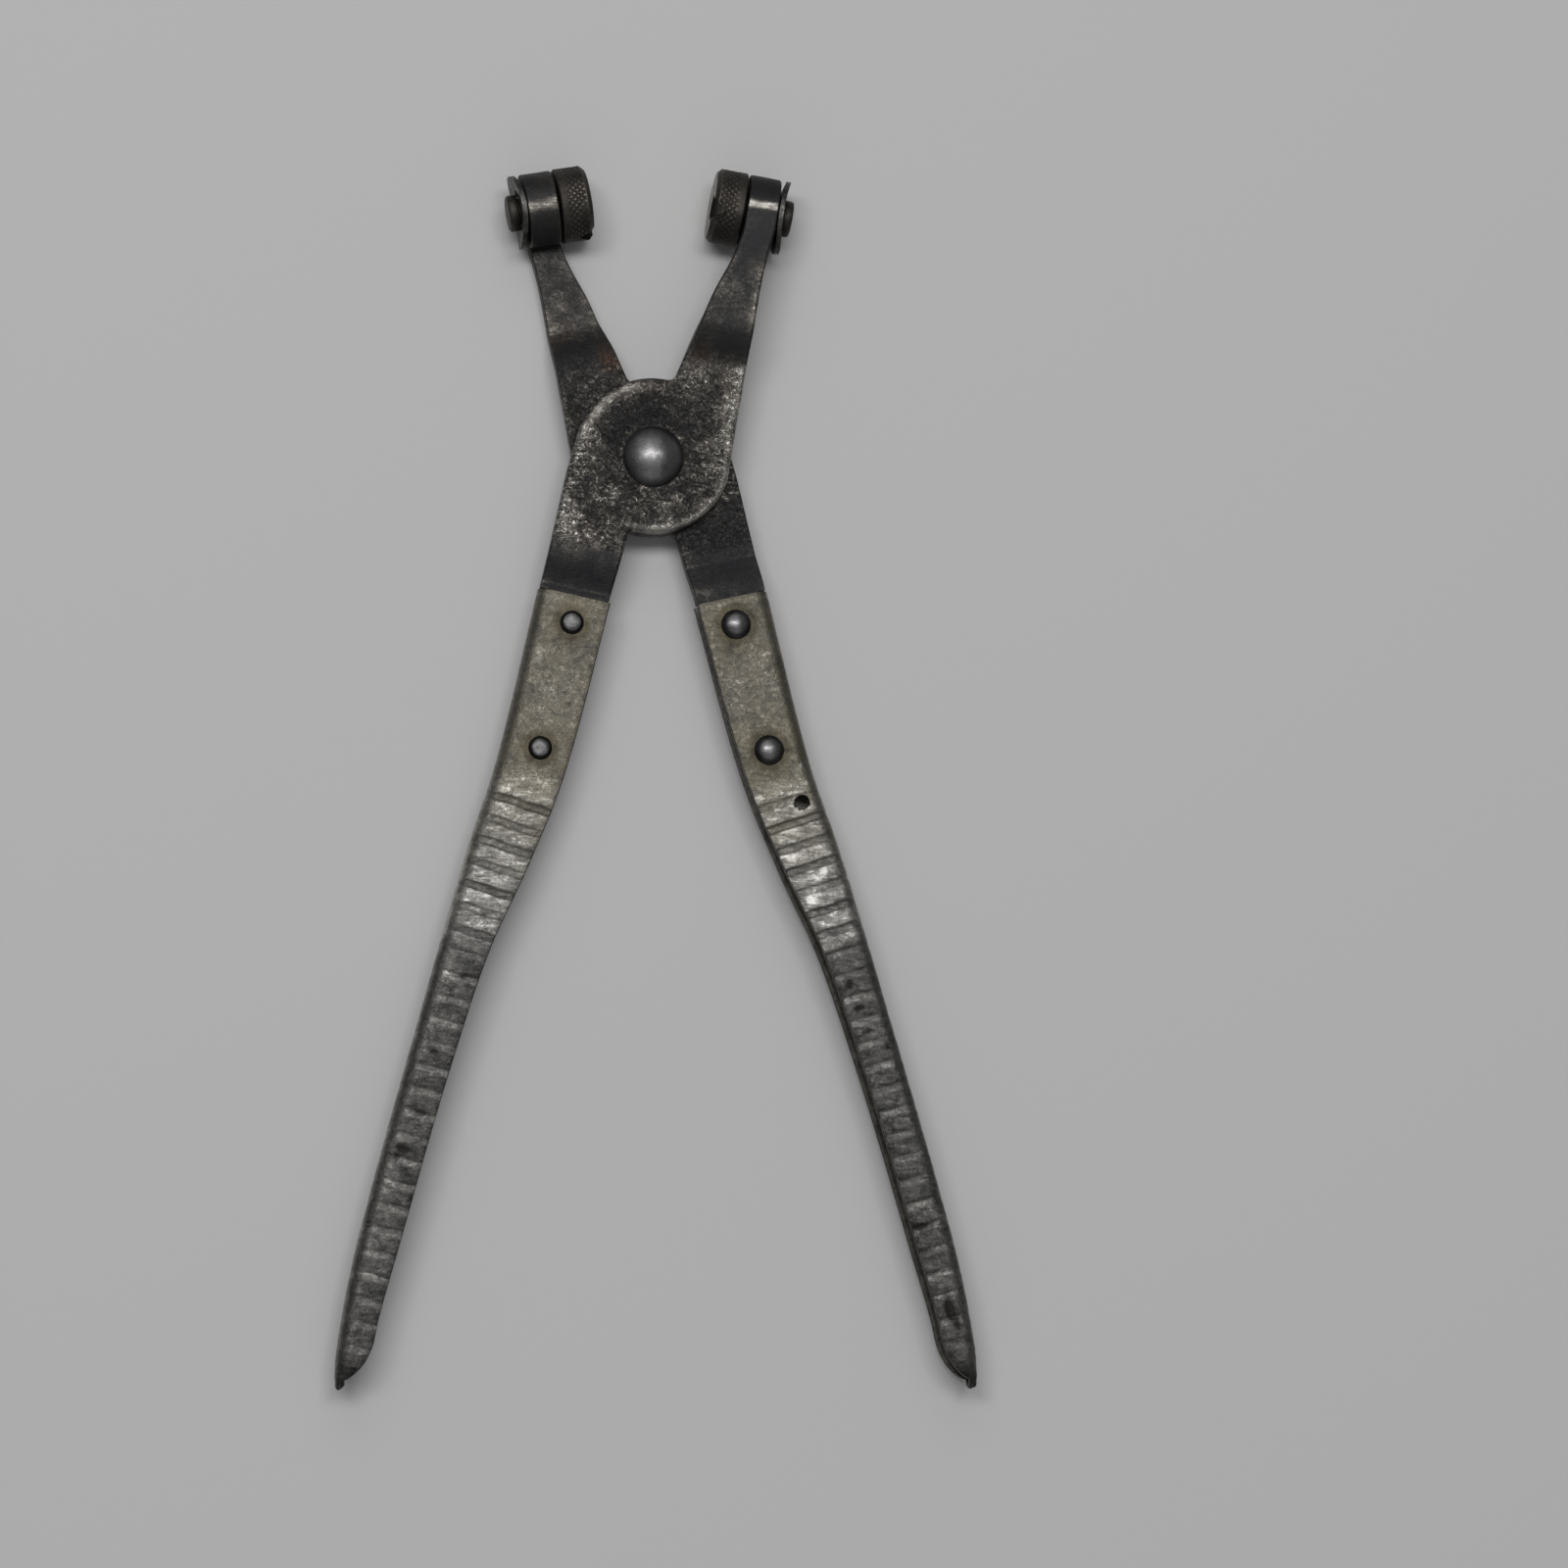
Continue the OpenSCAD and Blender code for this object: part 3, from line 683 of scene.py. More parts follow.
# The tool's pieces
@dataclass(frozen=True)
class JawSeat:
    """Where a jaw's face stands in a half, and how its stud leans."""

    face_x: float = 0.897066
    face_v: float = 48.1
    tilt_deg: float = 2.4
    knuckle_in: float = 6.0
    knuckle_out: float = 11.6

    @property
    def face(self) -> np.ndarray:
        """Centre of the jaw face, as x and v."""
        return np.array([self.face_x, self.face_v])

    @property
    def along(self) -> np.ndarray:
        """Unit vector outward along the stud, as x and v."""
        return np.array([math.cos(math.radians(self.tilt_deg)), math.sin(math.radians(self.tilt_deg))])

    @property
    def up(self) -> np.ndarray:
        """Unit vector square to the stud, toward the tool's top, as x and v."""
        return np.array([-self.along[1], self.along[0]])

    def points(self, local: np.ndarray) -> np.ndarray:
        """Carries points of the jaw's own frame to the half.

        The jaw's z runs out along the stud from the face, its x points to the half's -z, and its
        y points up.

        Args:
            local: points of the jaw's frame, in mm.

        Returns:
            The same points in the half's drawing frame.
        """
        flat = self.face + local[..., 2:3] * self.along + local[..., 1:2] * self.up
        return np.concatenate([flat, -local[..., 0:1]], axis=-1)


@dataclass
class Lever:
    """One lever: a pressed strip with a round lap plate, an arm and a tang.

    The arm is joggled outward and its end is rolled into a knuckle. The neck sets back to the
    middle plane and runs into the tang for the handle.

    Attributes:
        plate_gap: gap between the two levers' plates.
        disc_up: height of the lap plate's centre over the pivot.
        arm_z: height of the arm's middle, which is also the roll's middle radius.
        joggle: where the arm's step starts and ends, in v.
        neck_bend: where the neck's step starts and ends, in -v.
        arm_inner: knots of the arm's inner edge, as v and x.
        arm_outer: knots of the arm's outer edge, as v and x.
        arm_parallel: length of straight inner edge before the roll.
        side_parallel: length of straight outer edge before the roll.
        neck_inner: the neck's inner edge, as -x at the disc and at the shoulder.
        neck_outer: the neck's outer edge at the shoulder, as -x.
        neck_top: the neck's outer edge at the disc, as -x.
        shoulder: where the handle's mouth starts, in -v.
        tang_outer: the tang's outer edge at its top and its end, as -x.
        tang_inner: the tang's inner edge at its top and its end, as -x.
        roll_seam: gap between the roll's end and the arm.
        face_round: radius of the edges on the pressed face.
        disc_round: the same on the lap plate.
        back_round: radius of the edges on the other face.
        slant: slope of the section lines across the disc.
        row_step: distance between sections.
        roll_deg: the roll's whole turn in the wear marks.
    """

    half: Half
    finish: LeverSteel
    seat: JawSeat
    plate_t: float = 3.2
    plate_gap: float = 0.1
    disc_r: float = 14.0
    disc_up: float = 0.4
    arm_z: float = 5.0
    joggle: tuple[float, float] = (18.5, 27.0)
    neck_bend: tuple[float, float] = (19.6, 26.5)
    arm_fillet: float = 1.5
    neck_fillet: float = 1.5
    arm_inner: tuple[tuple[float, float], ...] = ((19.0, 1.7), (25.4, 3.025), (31.8, 4.35), (38.0, 6.15))
    arm_outer: tuple[tuple[float, float], ...] = ((-1.0, 13.9), (22.0, 12.85), (35.0, 12.25))
    arm_parallel: float = 4.4
    side_parallel: float = 3.2
    neck_inner: tuple[float, float] = (1.4, 2.2)
    neck_outer: float = 14.6
    neck_top: float = 14.4
    shoulder: float = 27.2
    tang_end: float = 61.5
    tang_bevel: float = 2.6
    tang_outer: tuple[float, float] = (12.4, 13.29)
    tang_inner: tuple[float, float] = (3.4, 5.22)
    pivot_bore: float = 3.55
    roll_seam: float = 0.2
    face_round: float = 0.5
    disc_round: float = 0.95
    back_round: float = 0.3
    slant: float = 0.268
    row_step: float = 0.33
    roll_deg: float = 299.0

    @property
    def disc(self) -> np.ndarray:
        """Centre of the round lap plate, as x and v."""
        return np.array([0.0, self.disc_up])

    def fillet(self, a: np.ndarray, b: np.ndarray, radius: float) -> tuple[np.ndarray, np.ndarray]:
        """Fillet between the disc's outside and the line from a to b, on the line's left side.

        Its centre is disc_r + radius from the disc's centre and radius from the line.

        Args:
            a: first point of the line, as x and v.
            b: second point of the line.
            radius: the fillet's radius.

        Returns:
            The arc's points from the disc to the line, and its end on the line.
        """
        u = (b - a) / np.linalg.norm(b - a)
        n = np.array([-u[1], u[0]])
        d = n @ (a - self.disc)
        reach = math.sqrt((self.disc_r + radius) ** 2 - (d + radius) ** 2)
        centre = self.disc + (d + radius) * n + reach * u
        end = centre - radius * n
        a0 = math.degrees(math.atan2(self.disc_up - centre[1], -centre[0]))
        a1 = math.degrees(math.atan2(end[1] - centre[1], end[0] - centre[0]))
        a1 = a0 + (a1 - a0 + 180) % 360 - 180
        return arc(centre, radius, a0, a1, 24), end

    def outlines(self) -> tuple[np.ndarray, np.ndarray]:
        """Draws the edges of the flat strip, from the tang's end to the end of the roll.

        Returns:
            The left edge and the right edge.
        """
        seat, sh = self.seat, self.shoulder
        roll = np.array([0, self.roll_length() + 2])[:, None] * seat.up
        kn_in = seat.face + seat.knuckle_in * seat.along
        kn_out = seat.face + seat.knuckle_out * seat.along
        low_in, low_out = kn_in - self.arm_parallel * seat.up, kn_out - self.side_parallel * seat.up
        inner = np.array(self.arm_inner)
        arm_fillet, arm_start = self.fillet(inner[0, ::-1], inner[2, ::-1], self.arm_fillet)
        neck_fillet, _ = self.fillet(np.array([-self.neck_inner[0], -self.disc_r]),
                                     np.array([-self.neck_inner[1], 0.1 - sh]), self.neck_fillet)
        v = np.linspace(arm_start[1], low_in[1], 40)
        knots = [tuple(k) for k in inner] + [(low_in[1], low_in[0]), (kn_in[1], kn_in[0])]
        arm_edge = np.stack([through(v, knots), v], axis=-1)
        rise = np.linspace(-0.6, low_out[1], 120)
        side = np.stack([through(rise, [*self.arm_outer, (low_out[1], low_out[0])]), rise], axis=-1)
        first, last = (math.degrees(math.atan2(p[0, 1] - self.disc_up, p[0, 0]))
                       for p in (arm_fillet, neck_fillet))
        to, ti, bevel = self.tang_outer, self.tang_inner, self.tang_bevel
        left = np.concatenate([
            [[bevel - to[1], -self.tang_end], [-to[1], bevel - self.tang_end], [-to[0], -0.15 - sh],
             [-self.neck_outer, -sh], [-self.neck_top, -6.0]], arc(self.disc, self.disc_r, 178, first, 90),
            arm_fillet[1:], arm_edge[1:], kn_in + roll])
        right = np.concatenate([
            [[-ti[1] - bevel, -self.tang_end], [-ti[1], bevel - self.tang_end], [-ti[0], -0.15 - sh],
             [-self.neck_inner[1], -sh]], neck_fillet[::-1],
            arc(self.disc, self.disc_r, last, -4.5, 90)[1:], side, kn_out + roll])
        return left, right

    def roll_length(self) -> float:
        """Length of the strip's middle line round the knuckle, from the arm's front to the seam."""
        cut = math.acos((self.arm_z - self.plate_t / 2 - self.roll_seam) / self.arm_z)
        return self.arm_z * (2 * math.pi - cut)

    def rows(self) -> tuple[np.ndarray, np.ndarray, np.ndarray]:
        """Pairs of edge points that share a straight line across the strip.

        Across the disc the lines lean by atan(slant), so that no line touches the disc's top or
        bottom along its edge, and at the knuckle they lie along the stud. The lines are spaced so
        that both edges are followed in even steps.

        Returns:
            The left points, the right points and each line's level.
        """
        left, right = (dense(edge, 0.08) for edge in self.outlines())
        lean = math.tan(math.radians(self.seat.tilt_deg))
        end = self.seat.face_v - lean * self.seat.face_x + self.roll_length() / self.seat.along[0]

        def cross(edge: np.ndarray, level: np.ndarray) -> np.ndarray:
            """Edge points where v + slope * x reaches each level.

            Args:
                edge: points of one edge, from the tang to the roll.
                level: levels, in rising order.

            Returns:
                One point of the edge for each level.
            """
            slope = self.slant * ease((level + 25.5) / 7.5) * (1 - ease((level - 18) / 8))
            slope = slope - lean * ease((level - 30) / 8)
            reach = edge[None, :, 1] + slope[:, None] * edge[None, :, 0]
            j = np.clip(np.argmax(reach >= level[:, None], axis=1), 1, len(edge) - 1)
            k = np.arange(len(level))
            t = np.clip((level - reach[k, j - 1]) / (reach[k, j] - reach[k, j - 1]), 0, 1)[:, None]
            return edge[j - 1] + t * (edge[j] - edge[j - 1])

        level = np.linspace(-self.tang_end, end, 4000)
        a, b = cross(left, level), cross(right, level)
        move_a, move_b = (np.linalg.norm(np.diff(edge, axis=0), axis=1) for edge in (a, b))
        move = np.maximum(move_a, move_b)
        run = np.concatenate([[0], np.cumsum(np.maximum(move, np.diff(level)))])
        level = np.interp(np.linspace(0, run[-1], int(run[-1] / self.row_step)), run, level)
        return cross(left, level), cross(right, level), level

    def fold(self, x: np.ndarray, v: np.ndarray, h: np.ndarray) -> np.ndarray:
        """Presses and rolls the flat strip.

        Up to the stud's line the strip follows its side profile, two smooth steps, and h is laid
        off square to it. Beyond that line a length w of strip becomes an angle about the stud, and
        the roll's end is cut flat, so the angle at the end is acos of the cut's height over the radius.

        Args:
            x: place across the half.
            v: place along the strip.
            h: height above the strip's middle.

        Returns:
            Points of the half's drawing frame.
        """
        low = (self.plate_gap + self.plate_t) / 2
        up = (v - self.joggle[0]) / (self.joggle[1] - self.joggle[0])
        down = (-v - self.neck_bend[0]) / (self.neck_bend[1] - self.neck_bend[0])
        z = np.where(v > 0, low + (self.arm_z - low) * ease(up), low * (1 - ease(down)))
        slope = np.where(v > 0, (self.arm_z - low) * ease_slope(up) / (self.joggle[1] - self.joggle[0]),
                         low * ease_slope(down) / (self.neck_bend[1] - self.neck_bend[0]))
        size = np.sqrt(1 + slope**2)
        flat = np.stack([x, v - h * slope / size, z + h / size], axis=-1)
        seat = self.seat
        dx, dv = x - seat.face[0], v - seat.face[1]
        out, w = dx * seat.along[0] + dv * seat.along[1], dx * seat.up[0] + dv * seat.up[1]
        radius = self.arm_z + h
        cut = (self.arm_z - self.plate_t / 2 - self.roll_seam) / radius
        angle = np.maximum(w, 0) / self.roll_length() * (2 * np.pi - np.arccos(np.clip(cut, -1, 1)))
        rise = radius * np.sin(angle)
        rolled = np.stack([seat.face[0] + out * seat.along[0] + rise * seat.up[0],
                           seat.face[1] + out * seat.along[1] + rise * seat.up[1],
                           radius * np.cos(angle)], axis=-1)
        return np.where((w > 0)[..., None], rolled, flat)

    def build(self) -> bpy.types.Object:
        """Builds the lever as one skin: each row is a rounded bar section between the two edges.

        Returns:
            The lever, with its bores.
        """
        left, right, level = self.rows()
        on_disc = ease((level + 20) / 4) * (1 - ease((level - 14) / 5))
        face_r = self.face_round + (self.disc_round - self.face_round) * on_disc
        back_r = np.full_like(level, self.back_round)
        tight = np.clip(np.abs(level + self.shoulder) / 2.5, 0.12, 1)
        face_r, back_r = face_r * tight, back_r * tight
        square = 1 - 0.35 * ease((level - 40) / 6)
        face_r *= square
        tangents = [np.gradient(edge, axis=0) for edge in (left, right)]
        tangents = [t / np.linalg.norm(t, axis=1, keepdims=True) for t in tangents]
        in_left = np.stack([tangents[0][:, 1], -tangents[0][:, 0]], axis=-1)
        in_right = np.stack([-tangents[1][:, 1], tangents[1][:, 0]], axis=-1)
        turn = np.linspace(0, np.pi / 2, 6)
        side_in = np.concatenate([face_r[:, None] * (1 - np.sin(turn)),
                                  back_r[:, None] * (1 - np.cos(turn))], axis=1)
        side_h = np.concatenate([self.plate_t / 2 - face_r[:, None] * (1 - np.cos(turn)),
                                 back_r[:, None] * (1 - np.sin(turn)) - self.plate_t / 2], axis=1)
        share = (0.5 + 0.484 * np.sin(np.linspace(-np.pi / 2, np.pi / 2, 42)))[None, :, None]
        wall = [edge[:, None] + side_in[..., None] * inward[:, None]
                for edge, inward in ((left, in_left), (right, in_right))]
        face = wall[0][:, :1] * (1 - share) + wall[1][:, :1] * share
        back = wall[0][:, -1:] * (1 - share) + wall[1][:, -1:] * share
        flat_h = np.full(face.shape[:2], self.plate_t / 2)
        blank = np.concatenate([face, wall[1], back[:, ::-1], wall[0][:, ::-1]], axis=1)
        height = np.concatenate([flat_h, side_h, -flat_h, side_h[:, ::-1]], axis=1)
        width = np.linalg.norm(right - left, axis=1)[:, None]
        inset = np.minimum(share[..., 0], 1 - share[..., 0]) * width
        rim = np.concatenate([inset, 0 * side_in, inset, 0 * side_in], axis=1)
        outward = self.half is Half.FRONT
        shows = height > 0 if outward else height < 0
        uneven = 0.05 * ripple(blank[..., 0], blank[..., 1], 7.5, 1.0 + self.half.value)
        uneven += 0.05 * ripple(blank[..., 0], blank[..., 1], 2.3, 2.0) * np.exp(-((blank[..., 1] / 17) ** 6))
        flats = np.abs(height) > self.plate_t / 2 - 0.02
        height = height + uneven * flats * np.sign(height) * ease(rim / 1.5)
        place = HalfPlace(self.half)
        points = place.points(self.fold(blank[..., 0], blank[..., 1], height))
        paint = self.wear(blank[..., 0], blank[..., 1], rim, shows)
        piece = loft(f"lever_{self.half.name.lower()}", points, paint)
        machine(piece, [drill(place, 0, 0, self.pivot_bore, -2, 6)]
                + [drill(place, x, v, RIVET_BORE_R, -4, 4) for x, v in RIVET_SPOTS.values()])
        return piece

    def wear(self, x: np.ndarray, v: np.ndarray, rim: np.ndarray,
             shows: np.ndarray) -> dict[str, np.ndarray]:
        """Where the oxide is rubbed off, scratched or rusted, with painted light and shade, as soft marks on
        the flat strip.

        Round the disc the marks go by distance from its centre and angle. Round the knuckle they
        go by the roll's angle, the length rolled over the roll's whole length, times roll_deg.

        Args:
            x: place across the half.
            v: place along the strip.
            rim: distance from the nearer edge.
            shows: true on the side that faces out of the photographed face.

        Returns:
            The tone, rub, rust and pit attributes.
        """
        seat, front = self.seat, self.half is Half.FRONT
        edge = np.exp(-((rim / 0.7) ** 2))
        far, way = np.hypot(x, v - self.disc_up), np.degrees(np.arctan2(v - self.disc_up, x))
        rolled = (x - seat.face[0]) * seat.up[0] + (v - seat.face[1]) * seat.up[1]
        turn = rolled / self.roll_length() * self.roll_deg
        # band: a strip round the knuckle, worn bright and lightened further as a painted highlight where the
        # lamp's reflection runs
        band = np.exp(-(np.abs((turn - (1.0 if front else 185.0)) / 9.0) ** 3)) * (v > 40)
        knuckle = ease((v - (37 if front else 41)) / 5)
        if front:
            marks = [(-12.6, -14.5, 2.6, 3.4, 0.34), (-8.0, -17.0, 4.5, 2.0, 0.16),
                     (-12.8, -3.5, 2.2, 5.5, 0.16), (-7.0, -23.5, 12.0, 3.6, -0.42),
                     (12.2, 11.5, 2.2, 6.5, 0.42), (12.0, 19.5, 1.5, 1.3, 0.25),
                     (8.0, 17.8, 5.0, 2.2, 0.12), (8.0, 23.6, 6.0, 2.6, -0.26), (12.2, 31.0, 1.3, 4.6, 0.30),
                     (-1.0, 8.0, 5.5, 2.4, -0.22), (-7.0, 1.0, 2.0, 4.0, -0.14), (-5.6, -7.8, 1.2, 0.8, 0.34),
                     (5.0, -5.6, 1.4, 1.3, 0.10), (9.5, 28.0, 1.5, 1.5, 0.10), (8.0, 37.0, 8.0, 3.0, -0.08),
                     (8.5, 31.0, 5.0, 6.0, -0.09), (3.5, -9.5, 6.0, 3.2, 0.12), (9.8, 1.5, 2.2, 6.0, 0.07)]
            rust = spots(x, v, [(4.6, 20.8, 1.6, 1.6, 0.7), (10.5, 16.0, 2.5, 5.0, 0.16),
                                (-4.0, 12.5, 4.0, 1.6, 0.15), (-9.0, -14.0, 4.0, 3.0, 0.12)])
            rim_light = np.exp(-(((far - 12.7) / 1.3) ** 2)) * np.exp(-(np.abs((way - 140) / 45) ** 4))
            # bevel: a painted reflection lightening the disc's lower right bevel
            bevel = np.exp(-(((far - 13.6) / 0.8) ** 2)) * np.exp(-(np.abs((way + 40) / 62) ** 4))
            # painted shade in the neck's crease and a painted highlight on its lit side
            fold_shade_and_highlight = np.exp(-(((v + 26.5) / 0.35) ** 2)) * -0.25
            fold_shade_and_highlight += np.exp(-(((v + 25.8) / 0.3) ** 2)) * 0.30
            # well: painted shade in a ring round the dome, deepest on its upper left
            well = np.exp(-(((far - 7.2) / 1.9) ** 2)) * (0.35 + 0.65 * np.exp(-(((way - 135) / 70) ** 4)))
            # worn gathers the worn rim and the bevel's painted reflection, and both smooth the pits
            worn = np.maximum(rim_light, bevel)
            tone = 0.42 + spots(x, v, marks) + 0.24 * rim_light + 0.40 * bevel - 0.20 * well + fold_shade_and_highlight
        else:
            marks = [(11.4, 27.0, 2.4, 3.2, 0.26), (8.0, 34.0, 6.0, 5.0, -0.02), (8.0, 21.6, 7.0, 2.4, -0.20),
                     (8.5, 15.5, 3.0, 3.0, 0.03), (-8.0, -22.0, 12.0, 5.5, -0.26),
                     (-8.0, -16.0, 8.0, 3.0, -0.14), (13.2, 10.0, 0.9, 6.0, 0.16),
                     (-4.0, -25.7, 1.8, 0.8, 0.26), (11.0, 12.0, 4.0, 4.0, -0.12)]
            rust = spots(x, v, [(3.4, 19.6, 1.7, 2.6, 0.9), (11.0, 26.0, 2.6, 3.0, 0.30)])
            # painted shade in the joggle's crease and the neck's crease, and a painted highlight beside the
            # neck's crease
            fold_shade_and_highlight = np.exp(-(((v - 19.2) / 0.35) ** 2)) * -0.14
            fold_shade_and_highlight += np.exp(-(((v + 21.4) / 0.35) ** 2)) * -0.22
            fold_shade_and_highlight += np.exp(-(((v + 20.6) / 0.4) ** 2)) * 0.16
            tone = 0.34 + spots(x, v, marks) + fold_shade_and_highlight
            worn = 0 * x
        tone = tone + 0.07 * edge - (0.38 if front else 0.03) * knuckle * (1 - band) + 0.37 * band
        tone = np.where(shows | (rolled > 0), tone, 0.34 + 0.1 * edge)
        rub = 0.2 + 1.3 * np.exp(-(((x + 13) / 2.4) ** 2) - ((v + 6) / 10) ** 2) + 0.25 * edge + 0.9 * band
        pit = np.exp(-((v / 19) ** 6)) * 0.8 + 0.2
        pit = np.where(v < -18.5, 0.25, pit) * (1 - 0.9 * knuckle) * (1 - 0.75 * worn)
        return {"tone": tone, "rub": rub, "rust": np.where(shows, rust, 0.3 * rust), "pit": pit}

    def dress(self) -> bpy.types.Object:
        """Builds the lever, gives it its finish and lets it stand for its CAD node.

        Returns:
            The finished lever.
        """
        piece = self.build()
        piece.data.materials.clear()
        piece.data.materials.append(self.finish.material())
        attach(piece, self.half.body)
        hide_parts(f"{self.half.name.lower()}_lever")
        return piece


@dataclass
class ChannelHandle:
    """One handle: a sheet channel, open toward the other handle, with rolled grip grooves.

    A station is the distance down the handle from the pivot, along the half's centre line.

    Attributes:
        mouth: station of the upper end.
        end: station of the toe's end.
        waist: station at which the spine starts to swing out.
        grip_at: station from which the grip runs at full depth.
        outer: knots of the spine, as station and distance out.
        widths: knots of the channel's width, as station and width.
        end_width: width at the toe's end.
        toe_at: station at which the toe starts.
        toe_nub: length of the nub past the toe's curve.
        end_round: how far the toe's end is rounded back at its corners.
        round_len: length over which it is rounded.
        end_pinch: share of the depth that the toe's end loses.
        pinch_len: length over which it is pinched.
        flange_step: how far the short flange stops behind the long one.
        bend_r: outer radius of the spine's bends.
        depths: depth at the waist, in the grip and at the toe's end.
        groove_drift: growth of the grooves' pitch in the grip, as a share.
        groove_lean: lean of the grooves above and in the grip, as a slope.
        groove_open: width of a groove.
        edge_r: radius of the sheet's edges.
        tether: the tether hole, as x, v and radius.
        step: distance between sections.
    """

    half: Half
    finish: HandlePlating
    mouth: float = 27.5
    end: float = 173.2
    wall: float = 1.1
    waist: float = 58.65
    grip_at: float = 93.0
    outer: tuple[tuple[float, float], ...] = (
        (27.5, 14.9), (58.65, 15.6), (75.825, 17.3), (100.0, 18.9), (148.0, 21.5), (166.0, 21.1),
        (173.2, 20.1))
    widths: tuple[tuple[float, float], ...] = (
        (27.5, 13.0), (58.65, 12.2), (75.825, 11.0), (93.0, 8.5), (115.0, 7.5), (148.0, 7.0), (161.0, 6.1))
    end_width: float = 1.6
    toe_at: float = 161.0
    toe_nub: float = 1.5
    end_round: float = 0.9
    round_len: float = 2.4
    end_pinch: float = 0.42
    pinch_len: float = 4.5
    flange_step: float = 0.1
    bend_r: float = 2.4
    depths: tuple[float, float, float] = (5.5, 7.8, 6.4)
    groove_start: float = 66.1
    groove_pitch: float = 4.05
    groove_count: int = 26
    groove_drift: float = 0.036
    groove_lean: tuple[float, float] = (0.10, 0.06)
    groove_open: float = 1.7
    groove_deep: float = 0.25
    edge_r: float = 0.22
    tether: tuple[float, float, float] = (-12.4, -65.9, 1.3)
    step: float = 0.22

    def toe(self, d: np.ndarray) -> np.ndarray:
        """Share of the way through the rounded toe, 0 before it and 1 on the nub at its end."""
        return np.clip((d - self.toe_at) / (self.end - self.toe_nub - self.toe_at), 0, 1)

    def edge_out(self, d: np.ndarray) -> np.ndarray:
        """Distance of the spine from the half's centre line."""
        return through(d, list(self.outer))

    def width(self, d: np.ndarray) -> np.ndarray:
        """Width of the channel, from its open edge to its spine, rounding off in the toe."""
        toe = self.end_width + (self.widths[-1][1] - self.end_width) * (1 - self.toe(d) ** 3)
        return np.where(d < self.toe_at, through(d, list(self.widths)), toe)

    def depth(self, d: np.ndarray) -> np.ndarray:
        """Depth of the channel, from flange to flange.

        Args:
            d: station down the handle.

        Returns:
            The depth at each station: it grows from the waist to the grip and shrinks in the toe,
            whose end is pinched.
        """
        a, b, c = self.depths
        grown = ease((d - self.waist) / (self.grip_at - self.waist))
        whole = a + (b - a) * grown - (b - c) * self.toe(d) ** 2
        return whole * (1 - self.end_pinch * ease((d - self.end + self.pinch_len) / self.pinch_len))

    def past(self, d: np.ndarray, out: np.ndarray) -> tuple[np.ndarray, np.ndarray]:
        """Number of the nearest groove, and how far a place lies past its wavering middle line.

        In the grip the grooves lie a little further apart.

        Args:
            d: station down the handle.
            out: distance from the half's centre line.

        Returns:
            The groove's number and the distance past it.
        """
        down = d - self.groove_start - self.groove_drift * np.maximum(d - self.grip_at, 0)
        i = np.round(down / self.groove_pitch)
        waver = 0.16 * ripple(out * 1.2, i * 7.3 + self.half.value, 5.0, 0.5)
        return i, down - i * self.groove_pitch - waver

    def groove(self, d: np.ndarray, out: np.ndarray) -> np.ndarray:
        """How deep a place lies in a groove.

        Args:
            d: station down the handle.
            out: distance from the half's centre line.

        Returns:
            1 on a groove's flat floor, falling smoothly to 0 at its sides.
        """
        i, off = self.past(d, out)
        made = (i >= 0) & (i < self.groove_count)
        return made * (1 - ease((np.abs(off) / self.groove_open * 2 - 0.5) / 0.5))

    def section(self, d: np.ndarray) -> tuple[np.ndarray, np.ndarray, np.ndarray]:
        """The channel's section at each station.

        The outside goes along the long flange, round the spine's two bends and back along the
        short flange, and the inside returns one sheet thickness within it. The sheet's edges are
        rounded. The place runs from 0 to 1 on the long flange, 1 to 2 round the first bend, 2 to 3
        on the spine, 3 to 4 round the second bend and 4 to 5 on the short flange. It is -0.5 on the
        sheet's edges and -1 inside.

        Args:
            d: stations down the handle.

        Returns:
            Distance out, height and place round the section, each of stations by points.
        """
        e, w, h = self.edge_out(d)[:, None], self.width(d)[:, None], self.depth(d)[:, None] / 2
        st = self.flange_step * (1 - 0.7 * self.toe(d)[:, None])
        lo = np.maximum(e - w, 0)
        r = np.minimum(self.bend_r, w * 0.7)
        q = np.maximum(r - self.wall, 0.15)
        t, k = self.wall, self.edge_r
        turn = np.radians(np.linspace(0, 90, 9))[None]
        small = np.radians(np.linspace(0, 90, 4))[None]
        run = np.linspace(0, 1, 18)[None]
        flat = np.ones_like(run)
        first = lo + k + (e - r - lo - k) * run
        second = e - r + (lo + st + k - e + r) * run
        spine = (h - r) * (1 - 2 * np.linspace(0, 1, 8)[None, 1:-1])
        inner = np.maximum(e - t, lo + st + 0.06 + q)
        back = lo + st + k + (inner - q - lo - st - k) * run
        ahead = inner - q + (lo + k - inner + q) * run
        out = [first, e - r + r * np.sin(turn[:, 1:]), e + 0 * spine, e - r + r * np.cos(turn), second[:, 1:],
               lo + st + k * (1 - np.sin(small[:, 1:])), lo + st + k * (1 - np.cos(small)), back[:, 1:],
               inner - q + q * np.sin(turn[:, 1:]), inner - q + q * np.cos(turn), ahead[:, 1:],
               lo + k * (1 - np.sin(small[:, 1:])), lo + k * (1 - np.cos(small[:, :-1]))]
        high = [h * flat, h - r * (1 - np.cos(turn[:, 1:])), spine + 0 * e, r * (1 - np.sin(turn)) - h,
                -h * flat[:, 1:], k * (1 - np.cos(small[:, 1:])) - h, t - h - k * (1 - np.sin(small)),
                (t - h) * flat[:, 1:], t - h + q * (1 - np.cos(turn[:, 1:])), h - t - q * (1 - np.sin(turn)),
                (h - t) * flat[:, 1:], h - t + k * (1 - np.cos(small[:, 1:])),
                h - k * (1 - np.sin(small[:, :-1]))]
